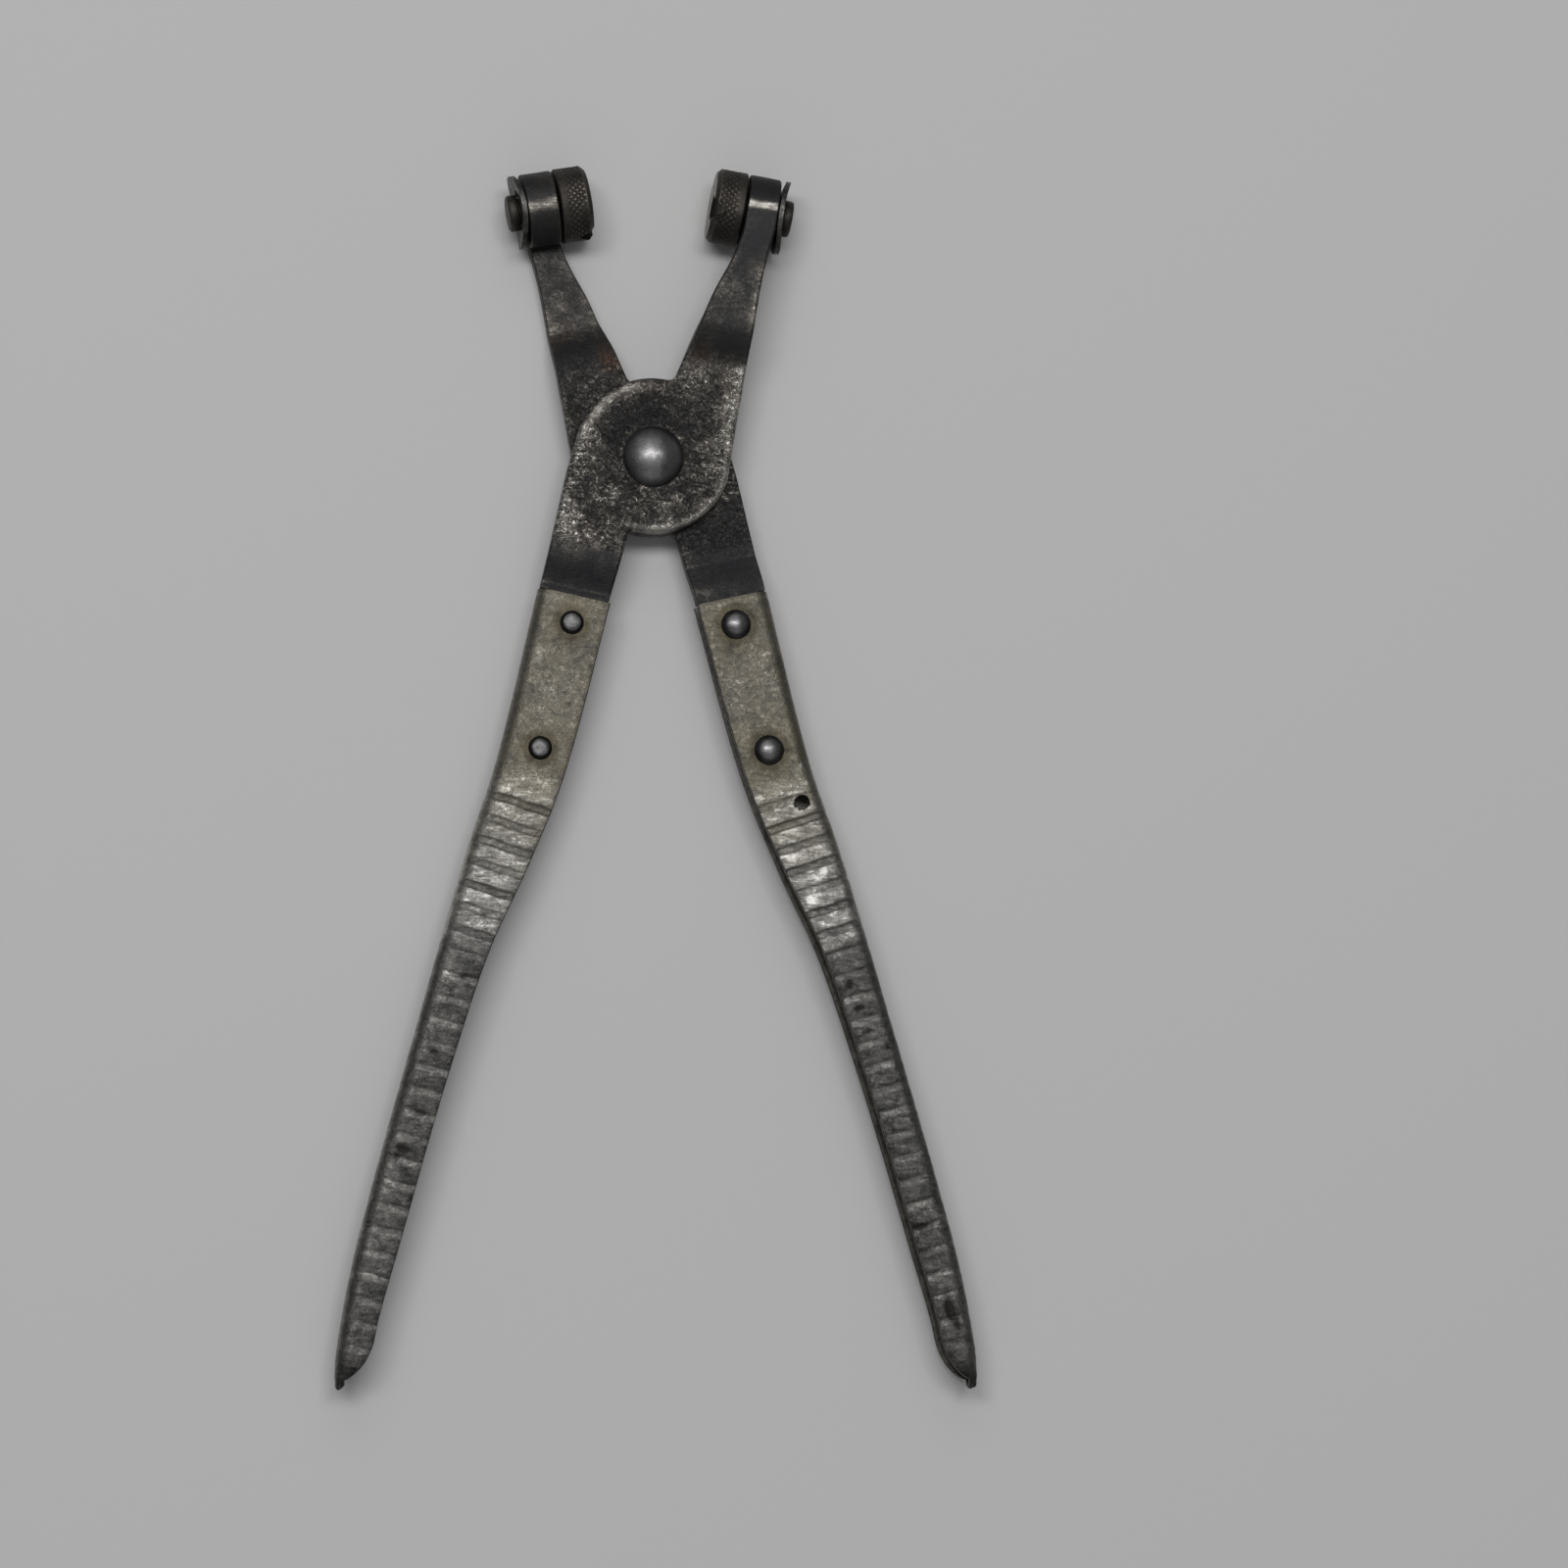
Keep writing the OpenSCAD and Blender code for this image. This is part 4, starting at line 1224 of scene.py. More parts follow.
        out = np.concatenate([a + 0 * e for a in out], axis=1)
        high = np.concatenate([a + 0 * e for a in high], axis=1)
        where = np.concatenate([run[0], 1 + turn[0, 1:] / turn.max(), np.linspace(2, 3, 8)[1:-1],
                                3 + turn[0] / turn.max(), 4 + run[0, 1:]])
        within = np.full(out.shape[1] - len(where), -1.0)
        within[:7], within[-6:] = -0.5, -0.5
        return out, high, np.broadcast_to(np.concatenate([where, within]), out.shape)

    def build(self) -> bpy.types.Object:
        """Builds the channel as one skin of sections carried down the handle.

        Returns:
            The handle, with its bores.
        """
        plain = np.linspace(self.mouth, self.groove_start - 1.2, 110)
        ribbed = np.arange(self.groove_start - 0.9, self.end - 0.02, self.step)
        d = np.concatenate([plain, ribbed, [self.end]])
        out, high, where = self.section(d)
        station = np.broadcast_to(d[:, None], out.shape)
        outside = where >= 0
        number = np.round((station - self.groove_start) / self.groove_pitch)
        uneven = 0.78 + 0.3 * np.sin(number * 2.4 + self.half.value) * np.sin(number * 0.9 + 1.0)
        spine = ease((where - 0.9) / 0.8) * ease((4.1 - where) / 0.8)
        dip = self.groove(station, out) * uneven * outside * (1 - 0.6 * spine) * (1 - 0.8 * self.toe(station))
        skin = 0.035 * ripple(station, out + where * 3, 9.0, 0.4 + self.half.value)
        skin = skin * outside * np.minimum(where * 3, 1)
        nx, nz = self.facing(where)
        shallow = 1 - 0.55 * ease((station - self.grip_at) / 6)
        sink = self.groove_deep * dip * shallow + self.gouges(station, out, where)[0] - skin
        out2, high2 = out - nx * sink, high - nz * sink
        lean = self.groove_lean[0] * ease((station - self.waist) / 9)
        lean += (self.groove_lean[1] - self.groove_lean[0]) * ease((station - self.grip_at + 5) / 12)
        middle = self.edge_out(d)[:, None] - self.width(d)[:, None] / 2
        aside = (out2 - middle) / self.width(d)[:, None] * 2
        rounded = self.end_round * ease((station - self.end + self.round_len) / self.round_len) * aside**2
        points = np.stack([-out2, lean * (out2 - middle) - station + rounded, high2], axis=-1)
        tone, warm, rub = self.wear(station, out, where, dip)
        place = HalfPlace(self.half)
        piece = loft(f"handle_{self.half.handle_side}", place.points(points),
                     {"tone": tone, "warm": warm, "rub": rub})
        machine(piece, [drill(place, *self.tether, -6, 0)]
                + [drill(place, x, v, RIVET_BORE_R, -6, 6) for x, v in RIVET_SPOTS.values()])
        return piece

    def facing(self, where: np.ndarray) -> tuple[np.ndarray, np.ndarray]:
        """The outside's direction in the section, which turns with the bends.

        Args:
            where: place round the section.

        Returns:
            The direction's outward part and its high part, both 0 on the inside.
        """
        angle = np.pi / 2 * (1 - np.clip(where - 1, 0, 1) - np.clip(where - 3, 0, 1))
        outside = where >= 0
        return np.cos(angle) * outside, np.sin(angle) * outside

    def gouges(self, d: np.ndarray, out: np.ndarray, where: np.ndarray) -> tuple[np.ndarray, np.ndarray]:
        """Nicks in the outer flange that shows.

        Args:
            d: station down the handle.
            out: distance from the half's centre line.
            where: place round the section.

        Returns:
            How deep the sheet is nicked, in mm, and how dark the nick is.
        """
        if self.half is Half.FRONT:
            shows = (where >= 0) & (where <= 1.3)
            nicks = [(130.3, 17.6, 0.75, 1.1, 1.0), (131.9, 18.2, 0.55, 0.6, 0.6),
                     (123.3, 16.0, 0.5, 1.3, 0.5), (112.3, 15.8, 0.5, 1.0, 0.4),
                     (98.4, 13.5, 0.4, 0.8, 0.5), (101.2, 15.2, 0.35, 0.5, 0.4)]
        else:
            shows = where >= 3.7
            nicks = [(159.0, 17.8, 2.0, 0.7, 1.0), (161.5, 18.6, 1.2, 0.6, 0.8),
                     (99.4, 13.3, 0.8, 0.6, 0.7), (103.8, 14.0, 0.4, 0.9, 0.8),
                     (100.0, 18.2, 0.7, 0.6, 0.7), (108.2, 14.6, 0.35, 0.9, 0.6),
                     (143.6, 16.4, 0.4, 1.8, 0.7), (147.8, 16.3, 0.3, 1.4, 0.5),
                     (111.5, 17.4, 0.5, 0.4, 0.5)]
        mark = spots(d, out, nicks) * shows
        return 0.16 * mark, mark

    def wear(self, d: np.ndarray, out: np.ndarray, where: np.ndarray,
             dip: np.ndarray) -> tuple[np.ndarray, np.ndarray, np.ndarray]:
        """How light, warm and rubbed the plating is at each point of the channel, with painted light and
        shade.

        Args:
            d: station down the handle.
            out: distance from the half's centre line.
            where: place round the section, below 0 on the inside.
            dip: depth of the grooves, from 0 to about 1.

        Returns:
            The tone, warm and rub attributes.
        """
        # shine: below the waist the plating is lighter, partly in its own colour and partly as painted sheen
        # where the flaring flanges face the light
        shine = ease((d - 58) / 6) * (1 - ease((d - self.groove_start - 24.5) / 4))
        grip = ease((d - 90) / 6)
        top = (where >= 0) & ((where < 1.15) | (where > 3.85))
        number, off = self.past(d, out)
        made = (number >= 0) & (number < self.groove_count)
        # upper is painted shade on each groove's upper wall, lower a painted highlight, in flecks, on its
        # lower lip
        upper = np.exp(-(((off + 0.78) / 0.25) ** 2)) * made
        lower = np.exp(-(((off - 0.95) / 0.3) ** 2)) * made
        cloud = ripple(d * 1.3, out * 1.6, 8.0, 2.0 + self.half.value)
        fleck = ripple(out * 1.4 + number * 3.1, d * 0.9, 3.4, 1.0 + self.half.value)
        fleck = np.clip(fleck * 2.6 - 0.35, 0, 1)
        tone = 0.50 + 0.19 * shine - 0.18 * grip + 0.05 * cloud
        tone = tone + dip * (0.22 * grip * top - 0.26 * shine)
        lip_highlight = lower * fleck * (0.30 * shine + 0.06 * grip) * top
        tone = tone - 0.08 * upper * (0.9 * shine + grip) * top + lip_highlight
        if self.half is Half.FRONT:
            rubs = [(39.2, 12.4, 1.6, 0.9, 0.26), (46.9, 5.6, 0.4, 0.5, -0.4), (41.8, 5.1, 0.9, 0.3, 0.3),
                    (30.4, 5.6, 0.5, 1.4, 0.30), (36.0, 9.0, 3.0, 3.0, -0.08), (50.0, 9.5, 4.0, 2.5, 0.06),
                    (61.5, 9.0, 0.4, 3.0, 0.25), (63.0, 8.0, 0.3, 3.0, -0.2)]
        else:
            rubs = [(59.6, 13.6, 0.6, 0.5, 0.5), (62.8, 14.1, 0.5, 0.5, 0.45), (63.5, 4.9, 0.35, 1.1, 0.4),
                    (75.0, 8.4, 0.5, 0.9, 0.5), (78.8, 13.4, 0.6, 0.6, 0.5), (82.8, 9.9, 0.6, 0.6, 0.45),
                    (45.1, 12.6, 0.3, 2.0, 0.35), (43.9, 12.0, 0.3, 1.6, 0.25), (39.0, 11.3, 1.0, 0.7, 0.2),
                    (59.5, 7.5, 1.5, 2.5, -0.22), (36.5, 6.0, 2.5, 2.0, -0.12), (69.3, 12.0, 0.9, 3.0, 0.10)]
        tone = tone + spots(d, out, rubs) * top
        # Painted shade on the spine's two bends and a painted reflection on the spine's side face; in the
        # grip both are lightened.
        bend = np.exp(-(((where - 1.3) / 0.3) ** 2)) + np.exp(-(((where - 3.7) / 0.3) ** 2))
        side = ease((where - 1.5) / 0.3) * ease((3.5 - where) / 0.3)
        tone = tone - 0.06 * bend * (1 - grip) + 0.26 * side + 0.10 * grip * np.maximum(bend, side)
        for x, v in RIVET_SPOTS.values():
            far = np.hypot(out + x, d + v)
            ring = 2.4 if self.half is Half.FRONT else 2.95
            rough_ring = ring + 0.35 * ripple(out + x, d + v, 3.0, 0.3)
            tone = tone - 0.42 * np.exp(-(((far - rough_ring) / 0.8) ** 2))
            tone = tone - 0.10 * np.exp(-((far / 5.0) ** 2))
        hole = np.hypot(out + self.tether[0], d + self.tether[1])
        tone = tone + 0.16 * np.exp(-(((hole - 1.75) / 0.3) ** 2))
        # At the mouth, painted shade on its edge and a painted highlight on the lit edge below it; the nicks
        # are darker; the toe is darkened towards its end as painted shadow.
        tone = tone - 0.1 * np.exp(-((d - self.mouth) / 0.5) ** 2) - 0.75 * self.gouges(d, out, where)[1]
        tone = tone + 0.12 * np.exp(-(((d - self.mouth - 0.9) / 0.4) ** 2)) - 0.22 * ease((d - 166) / 7)
        # Painted shade along the rounded open edge of the flange; inside the channel, painted shade deep
        # within, painted light near its open edge and under the tether hole.
        open_edge = self.edge_out(d) - self.width(d)
        tone = tone - 0.14 * np.exp(-(((out - open_edge) / 0.9) ** 2))
        within = 0.02 + 0.34 * np.exp(-(((out - open_edge) / 0.9) ** 2)) + 0.6 * np.exp(-((hole / 3) ** 2))
        tone = np.where(where == -1, within, np.where(where < 0, 0.45 - 0.15 * grip, tone))
        halo = sum(np.exp(-((np.hypot(out + x, d + v) / 5.5) ** 2)) for x, v in RIVET_SPOTS.values())
        warm = np.where(where < 0, 0.3, 0.8 + 0.4 * halo - 0.75 * ease((d - 62) / 24))
        # handling wear, plus streaks over the painted sheen band and the groove lips' painted highlights
        rubbed_and_sheen = (0.30 * shine + 0.14 * grip + 0.35 * lower * fleck * shine) * top
        rub = np.where(where < 0, 0.0, 0.18 + rubbed_and_sheen)
        return tone, warm, rub

    def dress(self) -> bpy.types.Object:
        """Builds the handle, gives it its finish and lets it stand for its CAD node.

        Returns:
            The finished handle.
        """
        piece = self.build()
        piece.data.materials.clear()
        piece.data.materials.append(self.finish.material())
        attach(piece, self.half.body)
        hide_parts(f"{self.half.handle_side}_handle")
        return piece


@dataclass(frozen=True)
class RivetHead:
    """A rivet head: an arc of a ball over a straight rim.

    Attributes:
        radius: radius of the head.
        height: height of the crown over the foot.
        rim: height of the straight rim.
        flat: share of the arc's height by which a hammer has lowered the crown.
    """

    radius: float
    height: float
    rim: float
    flat: float = 0.0

    def profile(self, count: int = 22) -> np.ndarray:
        """Lathe profile of the head from its crown to its foot.

        At a radius r the arc is lowered by the share flat of its height times
        (1 - (r / radius)^2)^2.

        Args:
            count: number of points on the arc.

        Returns:
            Pairs of radius and height.
        """
        cap = self.height - self.rim
        ball = (self.radius**2 + cap**2) / (2 * cap)
        a = np.linspace(0.0, math.asin(min(1.0, self.radius / ball)), count)
        r, h = ball * np.sin(a), self.height - ball * (1 - np.cos(a))
        h = h - self.flat * cap * (1 - (r / self.radius) ** 2) ** 2
        foot = [[self.radius, self.rim * 0.5], [self.radius, 0.0]]
        return np.concatenate([np.stack([r, h], axis=-1), foot])


@dataclass
class Rivet:
    """A rivet through a stack of sheets, with a head at each end.

    Attributes:
        name: name of the new piece.
        node: the CAD node that it stands for.
        stack_low: lower side of the stack, in z.
        stack_high: upper side of the stack, in z.
        high_head: head on the upper side, hammered if it is flattened.
        low_head: head on the lower side.
    """

    name: str
    node: str
    half: Half
    finish: RivetSteel
    x: float
    v: float
    shank_r: float
    stack_low: float
    stack_high: float
    high_head: RivetHead
    low_head: RivetHead

    def build(self) -> bpy.types.Object:
        """Turns the rivet's whole profile about its axis, crown to crown.

        Returns:
            The rivet.
        """
        top, bottom = self.high_head.profile(), self.low_head.profile()
        top[:, 1] += self.stack_high
        bottom[:, 1] = self.stack_low - bottom[:, 1]
        shank = np.array([[self.shank_r, self.stack_high], [self.shank_r, self.stack_low]])
        profile = np.concatenate([top, shank, bottom[::-1]])
        profile[[0, -1], 0] = 0.01
        rings = turned(profile, 72)
        a = np.arctan2(rings[..., 1], rings[..., 0])
        r = np.hypot(rings[..., 0], rings[..., 1])
        dents = 0.025 * ripple(rings[..., 0] + self.x, rings[..., 1] + self.v, 1.9, 0.7)
        crown = (rings[..., 2] > self.stack_high + 0.3) * 1.0 - (rings[..., 2] < self.stack_low - 0.3) * 1.0
        rings[..., 2] += crown * dents * (1 + 6 * self.high_head.flat * (rings[..., 2] > 0))
        edge = r / self.high_head.radius
        hammered = (self.high_head.flat > 0) * (rings[..., 2] > 0)
        tone = 0.60 - 0.26 * hammered - 0.5 * ease((edge - 0.72 + 0.30 * hammered) / 0.28)
        tone = tone + 0.04 * np.sin(3 * a)
        tone = np.where(r <= self.shank_r * 1.001, np.maximum(tone, 0.35), tone)
        rings = rings + np.array([self.x, self.v, 0])
        return loft(self.name, HalfPlace(self.half).points(rings), {"tone": tone})

    def dress(self) -> bpy.types.Object:
        """Builds the rivet, gives it its finish and lets it stand for its CAD node.

        Returns:
            The finished rivet.
        """
        piece = self.build()
        piece.data.materials.append(self.finish.material())
        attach(piece, self.half.body)
        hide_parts(self.node)
        return piece


@dataclass
class SwivelJaw:
    """A swivelling jaw: a knurled head with a clamp groove across its face, a stud and a button.

    Attributes:
        turn_deg: turn of the clamp groove about the stud.
        knurl_light: how much lighter the knurl's points are than its valleys.
        clip_in: inner side of the clip's groove, from the face.
        swivel_play: the stud's play along its axis.
        seat_end: outer side of the clip's groove, from the face.
        stud_end: the button's end, from the face.
        knurl: where the knurl starts and ends, from the face.
        knurl_count: ridges round the head.
        knurl_pitch: distance along the head in which a ridge moves on by one.
        ridge_power: how sharply the knurl's points stand out.
        groove_root_r: radius of the clamp groove's bottom.
        groove_stop: where the clamp groove stops, from the face's middle.
    """

    half: Half
    finish: JawSteel
    seat: JawSeat
    turn_deg: float
    knurl_light: float
    head_r: float = 6.7
    head_len: float = 5.6
    head_bevel: float = 0.8
    back_bevel: float = 0.25
    stud_r: float = 3.35
    clip_in: float = 11.75
    swivel_play: float = 0.15
    clip_seat_r: float = 2.5
    seat_end: float = 12.8306
    button_r: float = 3.25
    button_bevel: float = 0.4
    stud_end: float = 14.6306
    knurl: tuple[float, float] = (0.95, 4.35)
    knurl_count: int = 36
    knurl_pitch: float = 1.17
    knurl_deep: float = 0.17
    ridge_power: float = 1.3
    groove_w: float = 3.0
    groove_d: float = 2.5
    groove_root_r: float = 1.0
    groove_stop: float = -1.2

    def build(self) -> bpy.types.Object:
        """Turns the jaw's profile and sinks the knurl into the head.

        The knurl is the lower of two sets of slanting ridges: with s turns of the head counted in
        ridges and z along it in pitches, each set is a round ridge at every whole number of s + z
        or of s - z.

        Returns:
            The jaw, with its clamp groove.
        """
        lo, hi = self.knurl
        r, b, s = self.head_r, self.head_bevel, self.stud_r
        slack = self.swivel_play / 2
        face = np.stack([np.linspace(0.01, r - b, 14), np.zeros(14)], axis=-1)
        bevel = np.stack([np.linspace(r - b, r, 6), np.linspace(0, b, 6)], axis=-1)[1:]
        band = np.stack([np.full(46, r), np.linspace(lo - 0.08, hi + 0.08, 46)], axis=-1)
        rest = np.array([[r, self.head_len - self.back_bevel - 0.1], [r, self.head_len - self.back_bevel],
                         [r - self.back_bevel, self.head_len], [s + 1.5, self.head_len], [s, self.head_len],
                         [s, self.clip_in - slack], [self.clip_seat_r, self.clip_in - slack],
                         [self.clip_seat_r, self.seat_end], [self.button_r - 0.1, self.seat_end],
                         [self.button_r, self.seat_end + 0.1],
                         [self.button_r, self.stud_end - self.button_bevel],
                         [self.button_r - 0.15, self.stud_end - 0.12],
                         [self.button_r - self.button_bevel, self.stud_end], [1.2, self.stud_end],
                         [0.01, self.stud_end]])
        rings = turned(np.concatenate([face, bevel, band, rest]), self.knurl_count * 8)
        z = rings[..., 2]
        radius = np.hypot(rings[..., 0], rings[..., 1])
        turns = np.arctan2(rings[..., 1], rings[..., 0]) / (2 * np.pi) * self.knurl_count
        ridge = [np.abs(np.cos(np.pi * (turns + sign * z / self.knurl_pitch))) for sign in (1, -1)]
        bump = np.minimum(ridge[0], ridge[1]) ** self.ridge_power
        shown = (radius > r - 0.01) * ease((z - lo) / 0.25) * (1 - ease((z - hi + 0.25) / 0.25))
        wear = np.clip(0.62 + 0.9 * ripple(turns, z * 2, 6.0, 0.2), 0.2, 1)
        sink = shown * self.knurl_deep * (1 - bump) * wear
        rings[..., :2] *= ((radius - sink) / radius)[..., None]
        tone = np.where(shown > 0.02, 0.29 + (self.knurl_light * bump**2 - 0.08) * wear, 0.35)
        on_stud = (radius < s + 0.1) * (z > self.head_len - 0.1) * (z < self.seat_end)
        # The face is lightened as a painted reflection; the stud is darker.
        tone = tone + 0.50 * (z < 0.05) - 0.22 * on_stud
        on_rim = np.exp(-(((z - b) / 0.2) ** 2)) * (radius > r - 0.2)
        tone = tone + 0.08 * (z > self.stud_end - 0.2) + 0.18 * on_rim
        place = HalfPlace(self.half)
        piece = loft(f"jaw_{self.half.jaw_side}", place.points(self.seat.points(rings)), {"tone": tone}, 50)
        machine(piece, [self.groove_cutter(place)])
        return piece

    def groove_cutter(self, place: HalfPlace) -> bpy.types.Object:
        """The milling cutter for the clamp groove: a V with a round bottom.

        It is run in from one side of the face to just short of its middle.

        Args:
            place: the half that the jaw stands in.

        Returns:
            The cutter's body, for machine().
        """
        half = math.atan(self.groove_w / 2 / self.groove_d)
        root = self.groove_d - self.groove_root_r
        rise = root + self.groove_root_r * math.sin(half) + 1
        open_w = self.groove_root_r * math.cos(half) + rise * math.tan(half)
        tip = arc(np.array([0, root]), self.groove_root_r, math.degrees(half), 180 - math.degrees(half), 10)
        outline = np.concatenate([[[-open_w, -1], [open_w, -1]], tip])
        run = np.array([-2.0 * self.head_r, self.groove_stop])[:, None]
        turn = math.radians(self.turn_deg)
        across, depth = outline[None, :, 0], outline[None, :, 1]
        x = run * math.cos(turn) - across * math.sin(turn)
        y = run * math.sin(turn) + across * math.cos(turn)
        rings = np.stack([x, y, depth + 0 * x], axis=-1)
        return loft("cutter", place.points(self.seat.points(rings)), {"tone": np.full(x.shape, -0.5)})

    def dress(self) -> bpy.types.Object:
        """Builds the jaw, gives it its finish and lets it stand for its CAD node.

        Returns:
            The finished jaw.
        """
        piece = self.build()
        piece.data.materials.clear()
        piece.data.materials.append(self.finish.material())
        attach(piece, self.half.jaw_body)
        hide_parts(f"{self.half.jaw_side}_swivel_jaw")
        return piece


@dataclass
class RetainingClip:
    """The bowed clip that keeps a jaw's stud in its knuckle. Its CAD solid is shown as it is."""

    half: Half
    finish: ClipSteel

    def dress(self) -> bpy.types.Object:
        """Gives the CAD node its finish.

        Returns:
            The CAD node's own object.
        """
        node = frame["nodes"][f"{self.half.jaw_side}_retaining_clip"]
        node.data.materials.clear()
        node.data.materials.append(self.finish.material())
        return node


@dataclass(frozen=True)
class Lamp:
    """A soft lamp that looks at the pivot.

    Attributes:
        lift: its place over the camera's line, in degrees.
        far: distance from the pivot, in metres.
        wide: width, in metres.
        tall: height, in metres.
        power: power, in watts.
    """

    name: str
    lift: float
    far: float
    wide: float
    tall: float
    power: float


@dataclass
class Studio:
    """The pale floor, the soft light and the camera of the photograph.

    Attributes:
        sky_greys: pairs of height, from 0 to 1, and the sky's grey there, between its ends.
        camera_target: point of the tool's middle plane that the camera looks at, from the pivot.
        camera_far: distance from the camera to that point.
        mm_per_pixel: size of a pixel at that point.
        picture: width of the picture in pixels.
    """

    floor_colour: tuple[float, float, float] = (0.50, 0.50, 0.498)
    camera_target: tuple[float, float] = (23.3105, -58.1083)
    camera_yaw: float = 7.4682
    camera_pitch: float = -8.2265
    camera_roll: float = -0.5438
    camera_far: float = 1200.0
    mm_per_pixel: float = 0.1739
    picture: float = 1600.0
    sensor: float = 36.0
    floor_half: float = 6.0
    floor_rough: float = 0.9
    lamps: tuple[Lamp, ...] = (Lamp("key", 19.0, 1.6, 1.35, 0.36, 16.0),
                               Lamp("top", 55.0, 1.5, 1.2, 0.8, 2.6),
                               Lamp("low", -46.0, 1.5, 1.8, 0.9, 1.8))
    sky_greys: tuple[tuple[float, float], ...] = ((0.09, 0.28), (0.24, 0.08), (0.60, 0.08), (0.84, 0.26))

    def axes(self) -> tuple[np.ndarray, np.ndarray, np.ndarray]:
        """The camera's directions in the row frame.

        Returns:
            The directions to the right, up and backward.
        """
        yaw, pitch, roll = (math.radians(a) for a in (self.camera_yaw, self.camera_pitch, self.camera_roll))
        back = np.array([-math.sin(yaw) * math.cos(pitch), math.sin(pitch), math.cos(yaw) * math.cos(pitch)])
        right = np.cross(-back, [0, 1, 0])
        right /= np.linalg.norm(right)
        up = np.cross(right, -back)
        turned_right = right * math.cos(roll) + up * math.sin(roll)
        return turned_right, up * math.cos(roll) - right * math.sin(roll), back

    @staticmethod
    def stood(right: np.ndarray, up: np.ndarray, back: np.ndarray, at: np.ndarray) -> Matrix:
        """The place of a camera or lamp, which looks against back.

        Args:
            right: its right.
            up: its up.
            back: its backward direction.
            at: where it stands, in metres.

        Returns:
            Its matrix in the row frame.
        """
        place = np.eye(4)
        place[:3] = np.stack([right, up, back, at], axis=-1)
        return Matrix(place)

    def camera(self) -> None:
        """Stands the camera where the photograph was taken from."""
        right, up, back = self.axes()
        lens = bpy.data.cameras.new("camera")
        lens.sensor_width = self.sensor
        lens.lens = self.sensor * self.camera_far / self.mm_per_pixel / self.picture
        lens.clip_start, lens.clip_end = 0.05, 20
        camera = bpy.data.objects.new("camera", lens)
        bpy.context.scene.collection.objects.link(camera)
        target = PIVOT + MM * np.array([*self.camera_target, 0])
        camera.matrix_world = self.stood(right, up, back, target + back * self.camera_far * MM)
        bpy.context.scene.camera = camera

    def lights(self) -> None:
        """Sets up a wide lamp just above the camera's line, a weaker one further over and a dim one below."""
        right, up, back = self.axes()
        for lamp in self.lamps:
            way = back * math.cos(math.radians(lamp.lift)) + up * math.sin(math.radians(lamp.lift))
            light = bpy.data.lights.new(lamp.name, "AREA")
            light.shape, light.energy = "RECTANGLE", lamp.power
            light.size, light.size_y = lamp.wide, lamp.tall
            stand = bpy.data.objects.new(lamp.name, light)
            stand.matrix_world = self.stood(right, np.cross(way, right), way, PIVOT + way * lamp.far)
            bpy.context.scene.collection.objects.link(stand)

    def sky(self) -> None:
        """A sky, pale overhead and at the horizon and dim between, so that bent metal shows dark bands."""
        world = bpy.data.worlds.new("sky")
        world.use_nodes = True
        tree = world.node_tree
        tree.nodes.clear()
        coordinate = tree.nodes.new("ShaderNodeTexCoord")
        split = tree.nodes.new("ShaderNodeSeparateXYZ")
        ramp = tree.nodes.new("ShaderNodeValToRGB")
        background = tree.nodes.new("ShaderNodeBackground")
        output = tree.nodes.new("ShaderNodeOutputWorld")
        tree.links.new(coordinate.outputs["Generated"], split.inputs["Vector"])
        tree.links.new(split.outputs["Z"], ramp.inputs["Fac"])
        elements = ramp.color_ramp.elements
        elements[0].position, elements[0].color = 0.0, (0.34, 0.34, 0.345, 1)
        elements[1].position, elements[1].color = 0.95, (0.38, 0.38, 0.385, 1)
        for at, grey in self.sky_greys:
            elements.new(at).color = (grey, grey, grey * 1.01, 1)
        tree.links.new(ramp.outputs["Color"], background.inputs["Color"])
        background.inputs["Strength"].default_value = 1.0
        tree.links.new(background.outputs["Background"], output.inputs["Surface"])
        bpy.context.scene.world = world

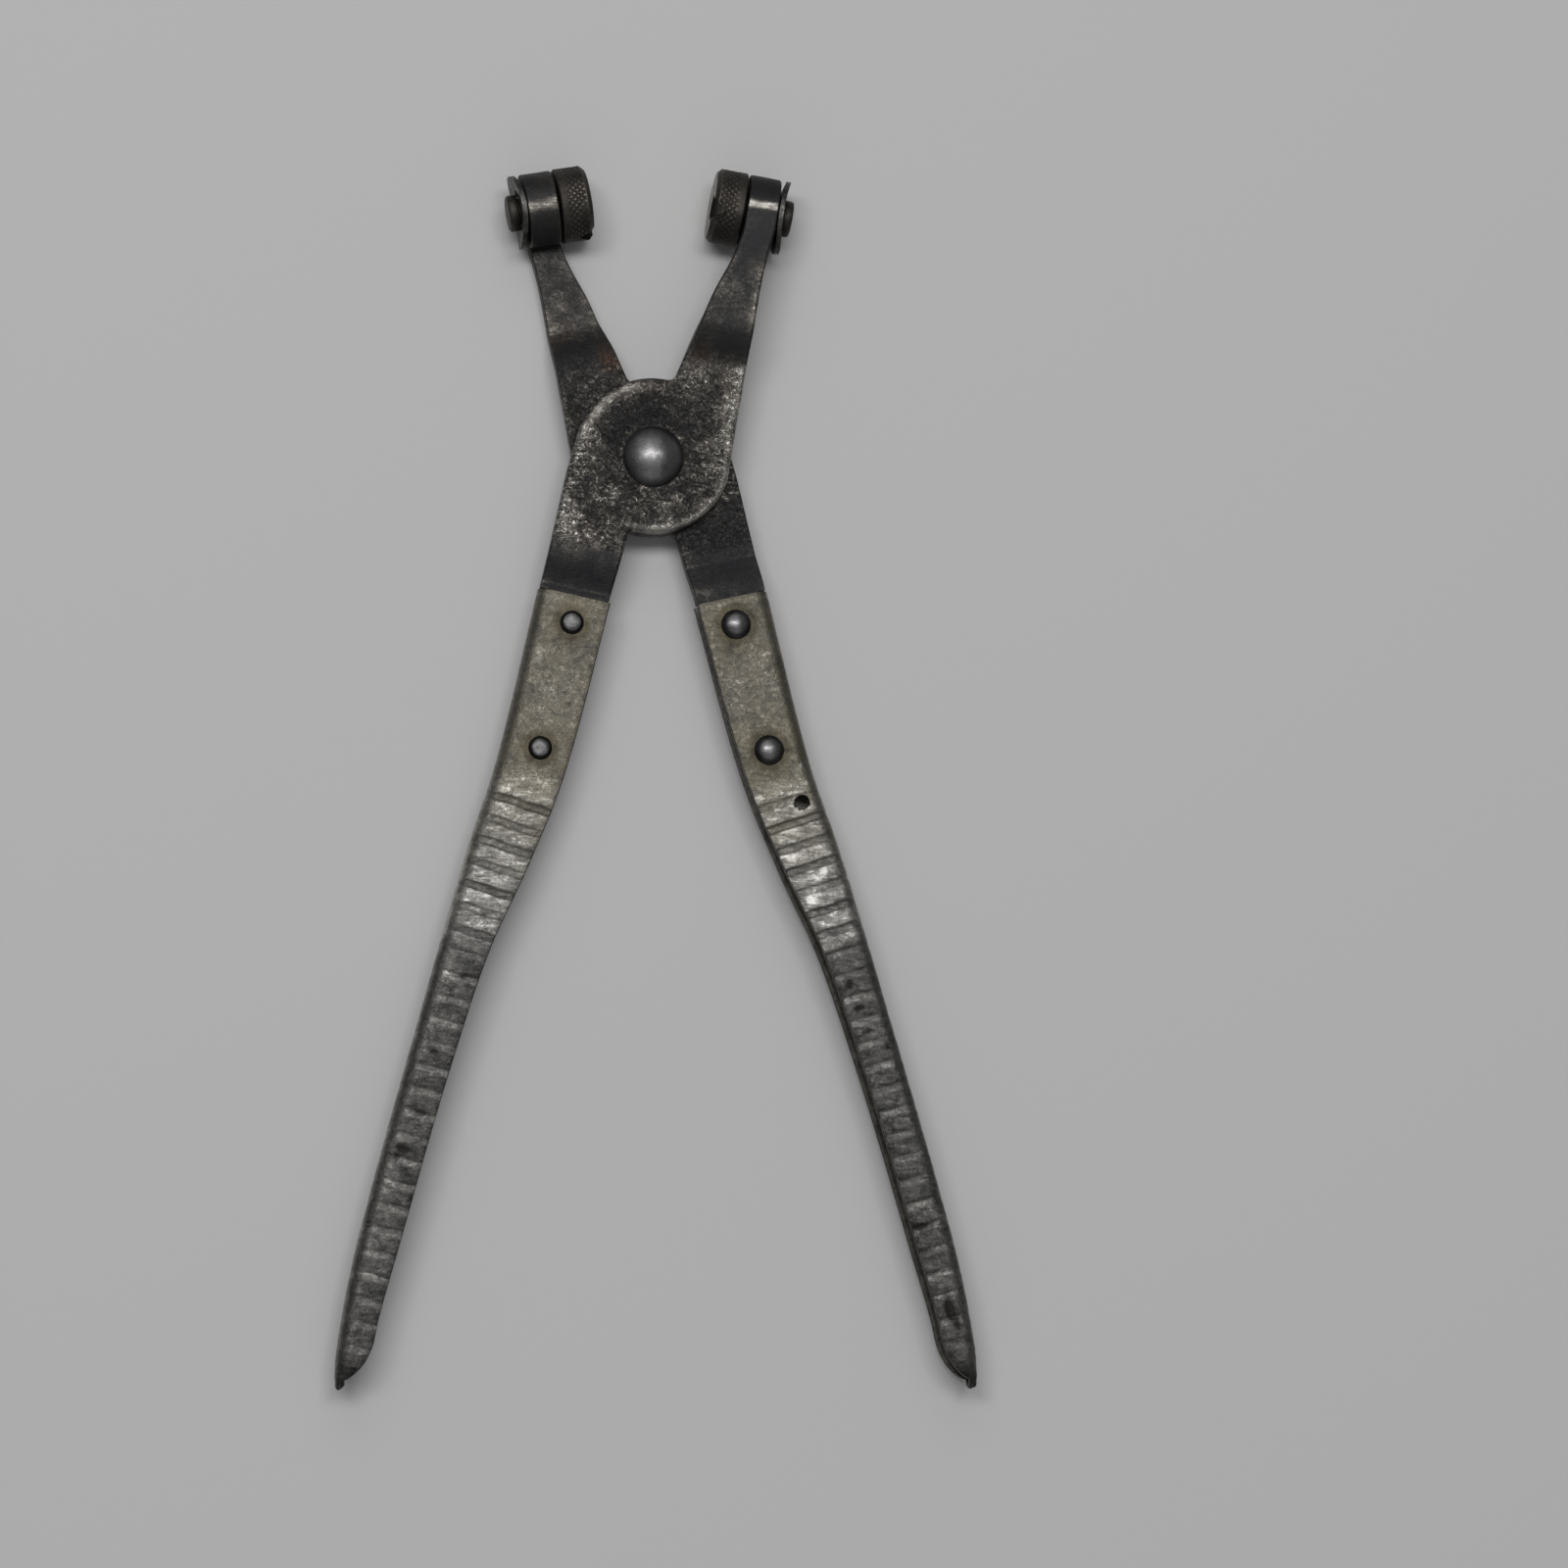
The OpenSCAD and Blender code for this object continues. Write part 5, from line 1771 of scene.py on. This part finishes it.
    def floor(self) -> None:
        """A plain pale floor just under the tool."""
        mesh = bpy.data.meshes.new("floor")
        size = self.floor_half
        corners = [(-size, -size, 0), (size, -size, 0), (size, size, 0), (-size, size, 0)]
        mesh.from_pydata(corners, [], [(0, 1, 2, 3)])
        floor = bpy.data.objects.new("floor", mesh)
        bpy.context.scene.collection.objects.link(floor)
        paint = bpy.data.materials.new("floor")
        paint.use_nodes = True
        shader = paint.node_tree.nodes["Principled BSDF"]
        shader.inputs["Base Color"].default_value = (*self.floor_colour, 1)
        shader.inputs["Roughness"].default_value = self.floor_rough
        mesh.materials.append(paint)

    def build(self) -> None:
        """Sets up everything that isn't the tool."""
        self.floor()
        self.lights()
        self.sky()
        self.camera()
        bpy.context.scene.view_settings.view_transform = "Standard"


def main() -> None:
    """Builds the tool piece by piece, and the studio round it."""
    logging.basicConfig(level=logging.INFO, format="%(message)s")
    Studio().build()
    seat = JawSeat()
    rivet, stack = RivetSteel(), 2.75
    parts = [Lever(Half.REAR, LeverSteel(), seat), Lever(Half.FRONT, LeverSteel(), seat),
             ChannelHandle(Half.FRONT, HandlePlating()),
             ChannelHandle(Half.REAR, HandlePlating(), groove_start=65.2),
             Rivet("pivot", "pivot_rivet", Half.FRONT, rivet, x=0, v=0, shank_r=3.5,
                   stack_low=-3.35, stack_high=3.25,
                   high_head=RivetHead(5.4, 2.9, 0.4), low_head=RivetHead(5.2, 2.2, 0.4))]
    for half in Half:
        for which, (x, v) in RIVET_SPOTS.items():
            name = f"{half.handle_side}_{which}"
            parts.append(Rivet(f"{name}_handle_rivet", f"{name}_rivet", half, rivet, x, v, shank_r=1.6,
                               stack_low=-stack, stack_high=stack,
                               high_head=RivetHead(2.1, 1.2, 0.2, flat=0.35),
                               low_head=RivetHead(2.65, 1.5, 0.2)))
    parts += [SwivelJaw(Half.FRONT, JawSteel(), seat, turn_deg=23.0, knurl_light=0.50),
              SwivelJaw(Half.REAR, JawSteel(), seat, turn_deg=100.0, knurl_light=0.66)]
    parts += [RetainingClip(half, ClipSteel()) for half in Half]
    for part in parts:
        piece = part.dress()
        log.info("%s: %d faces", piece.name, len(piece.data.polygons))


if __name__ == "__main__":
    main()
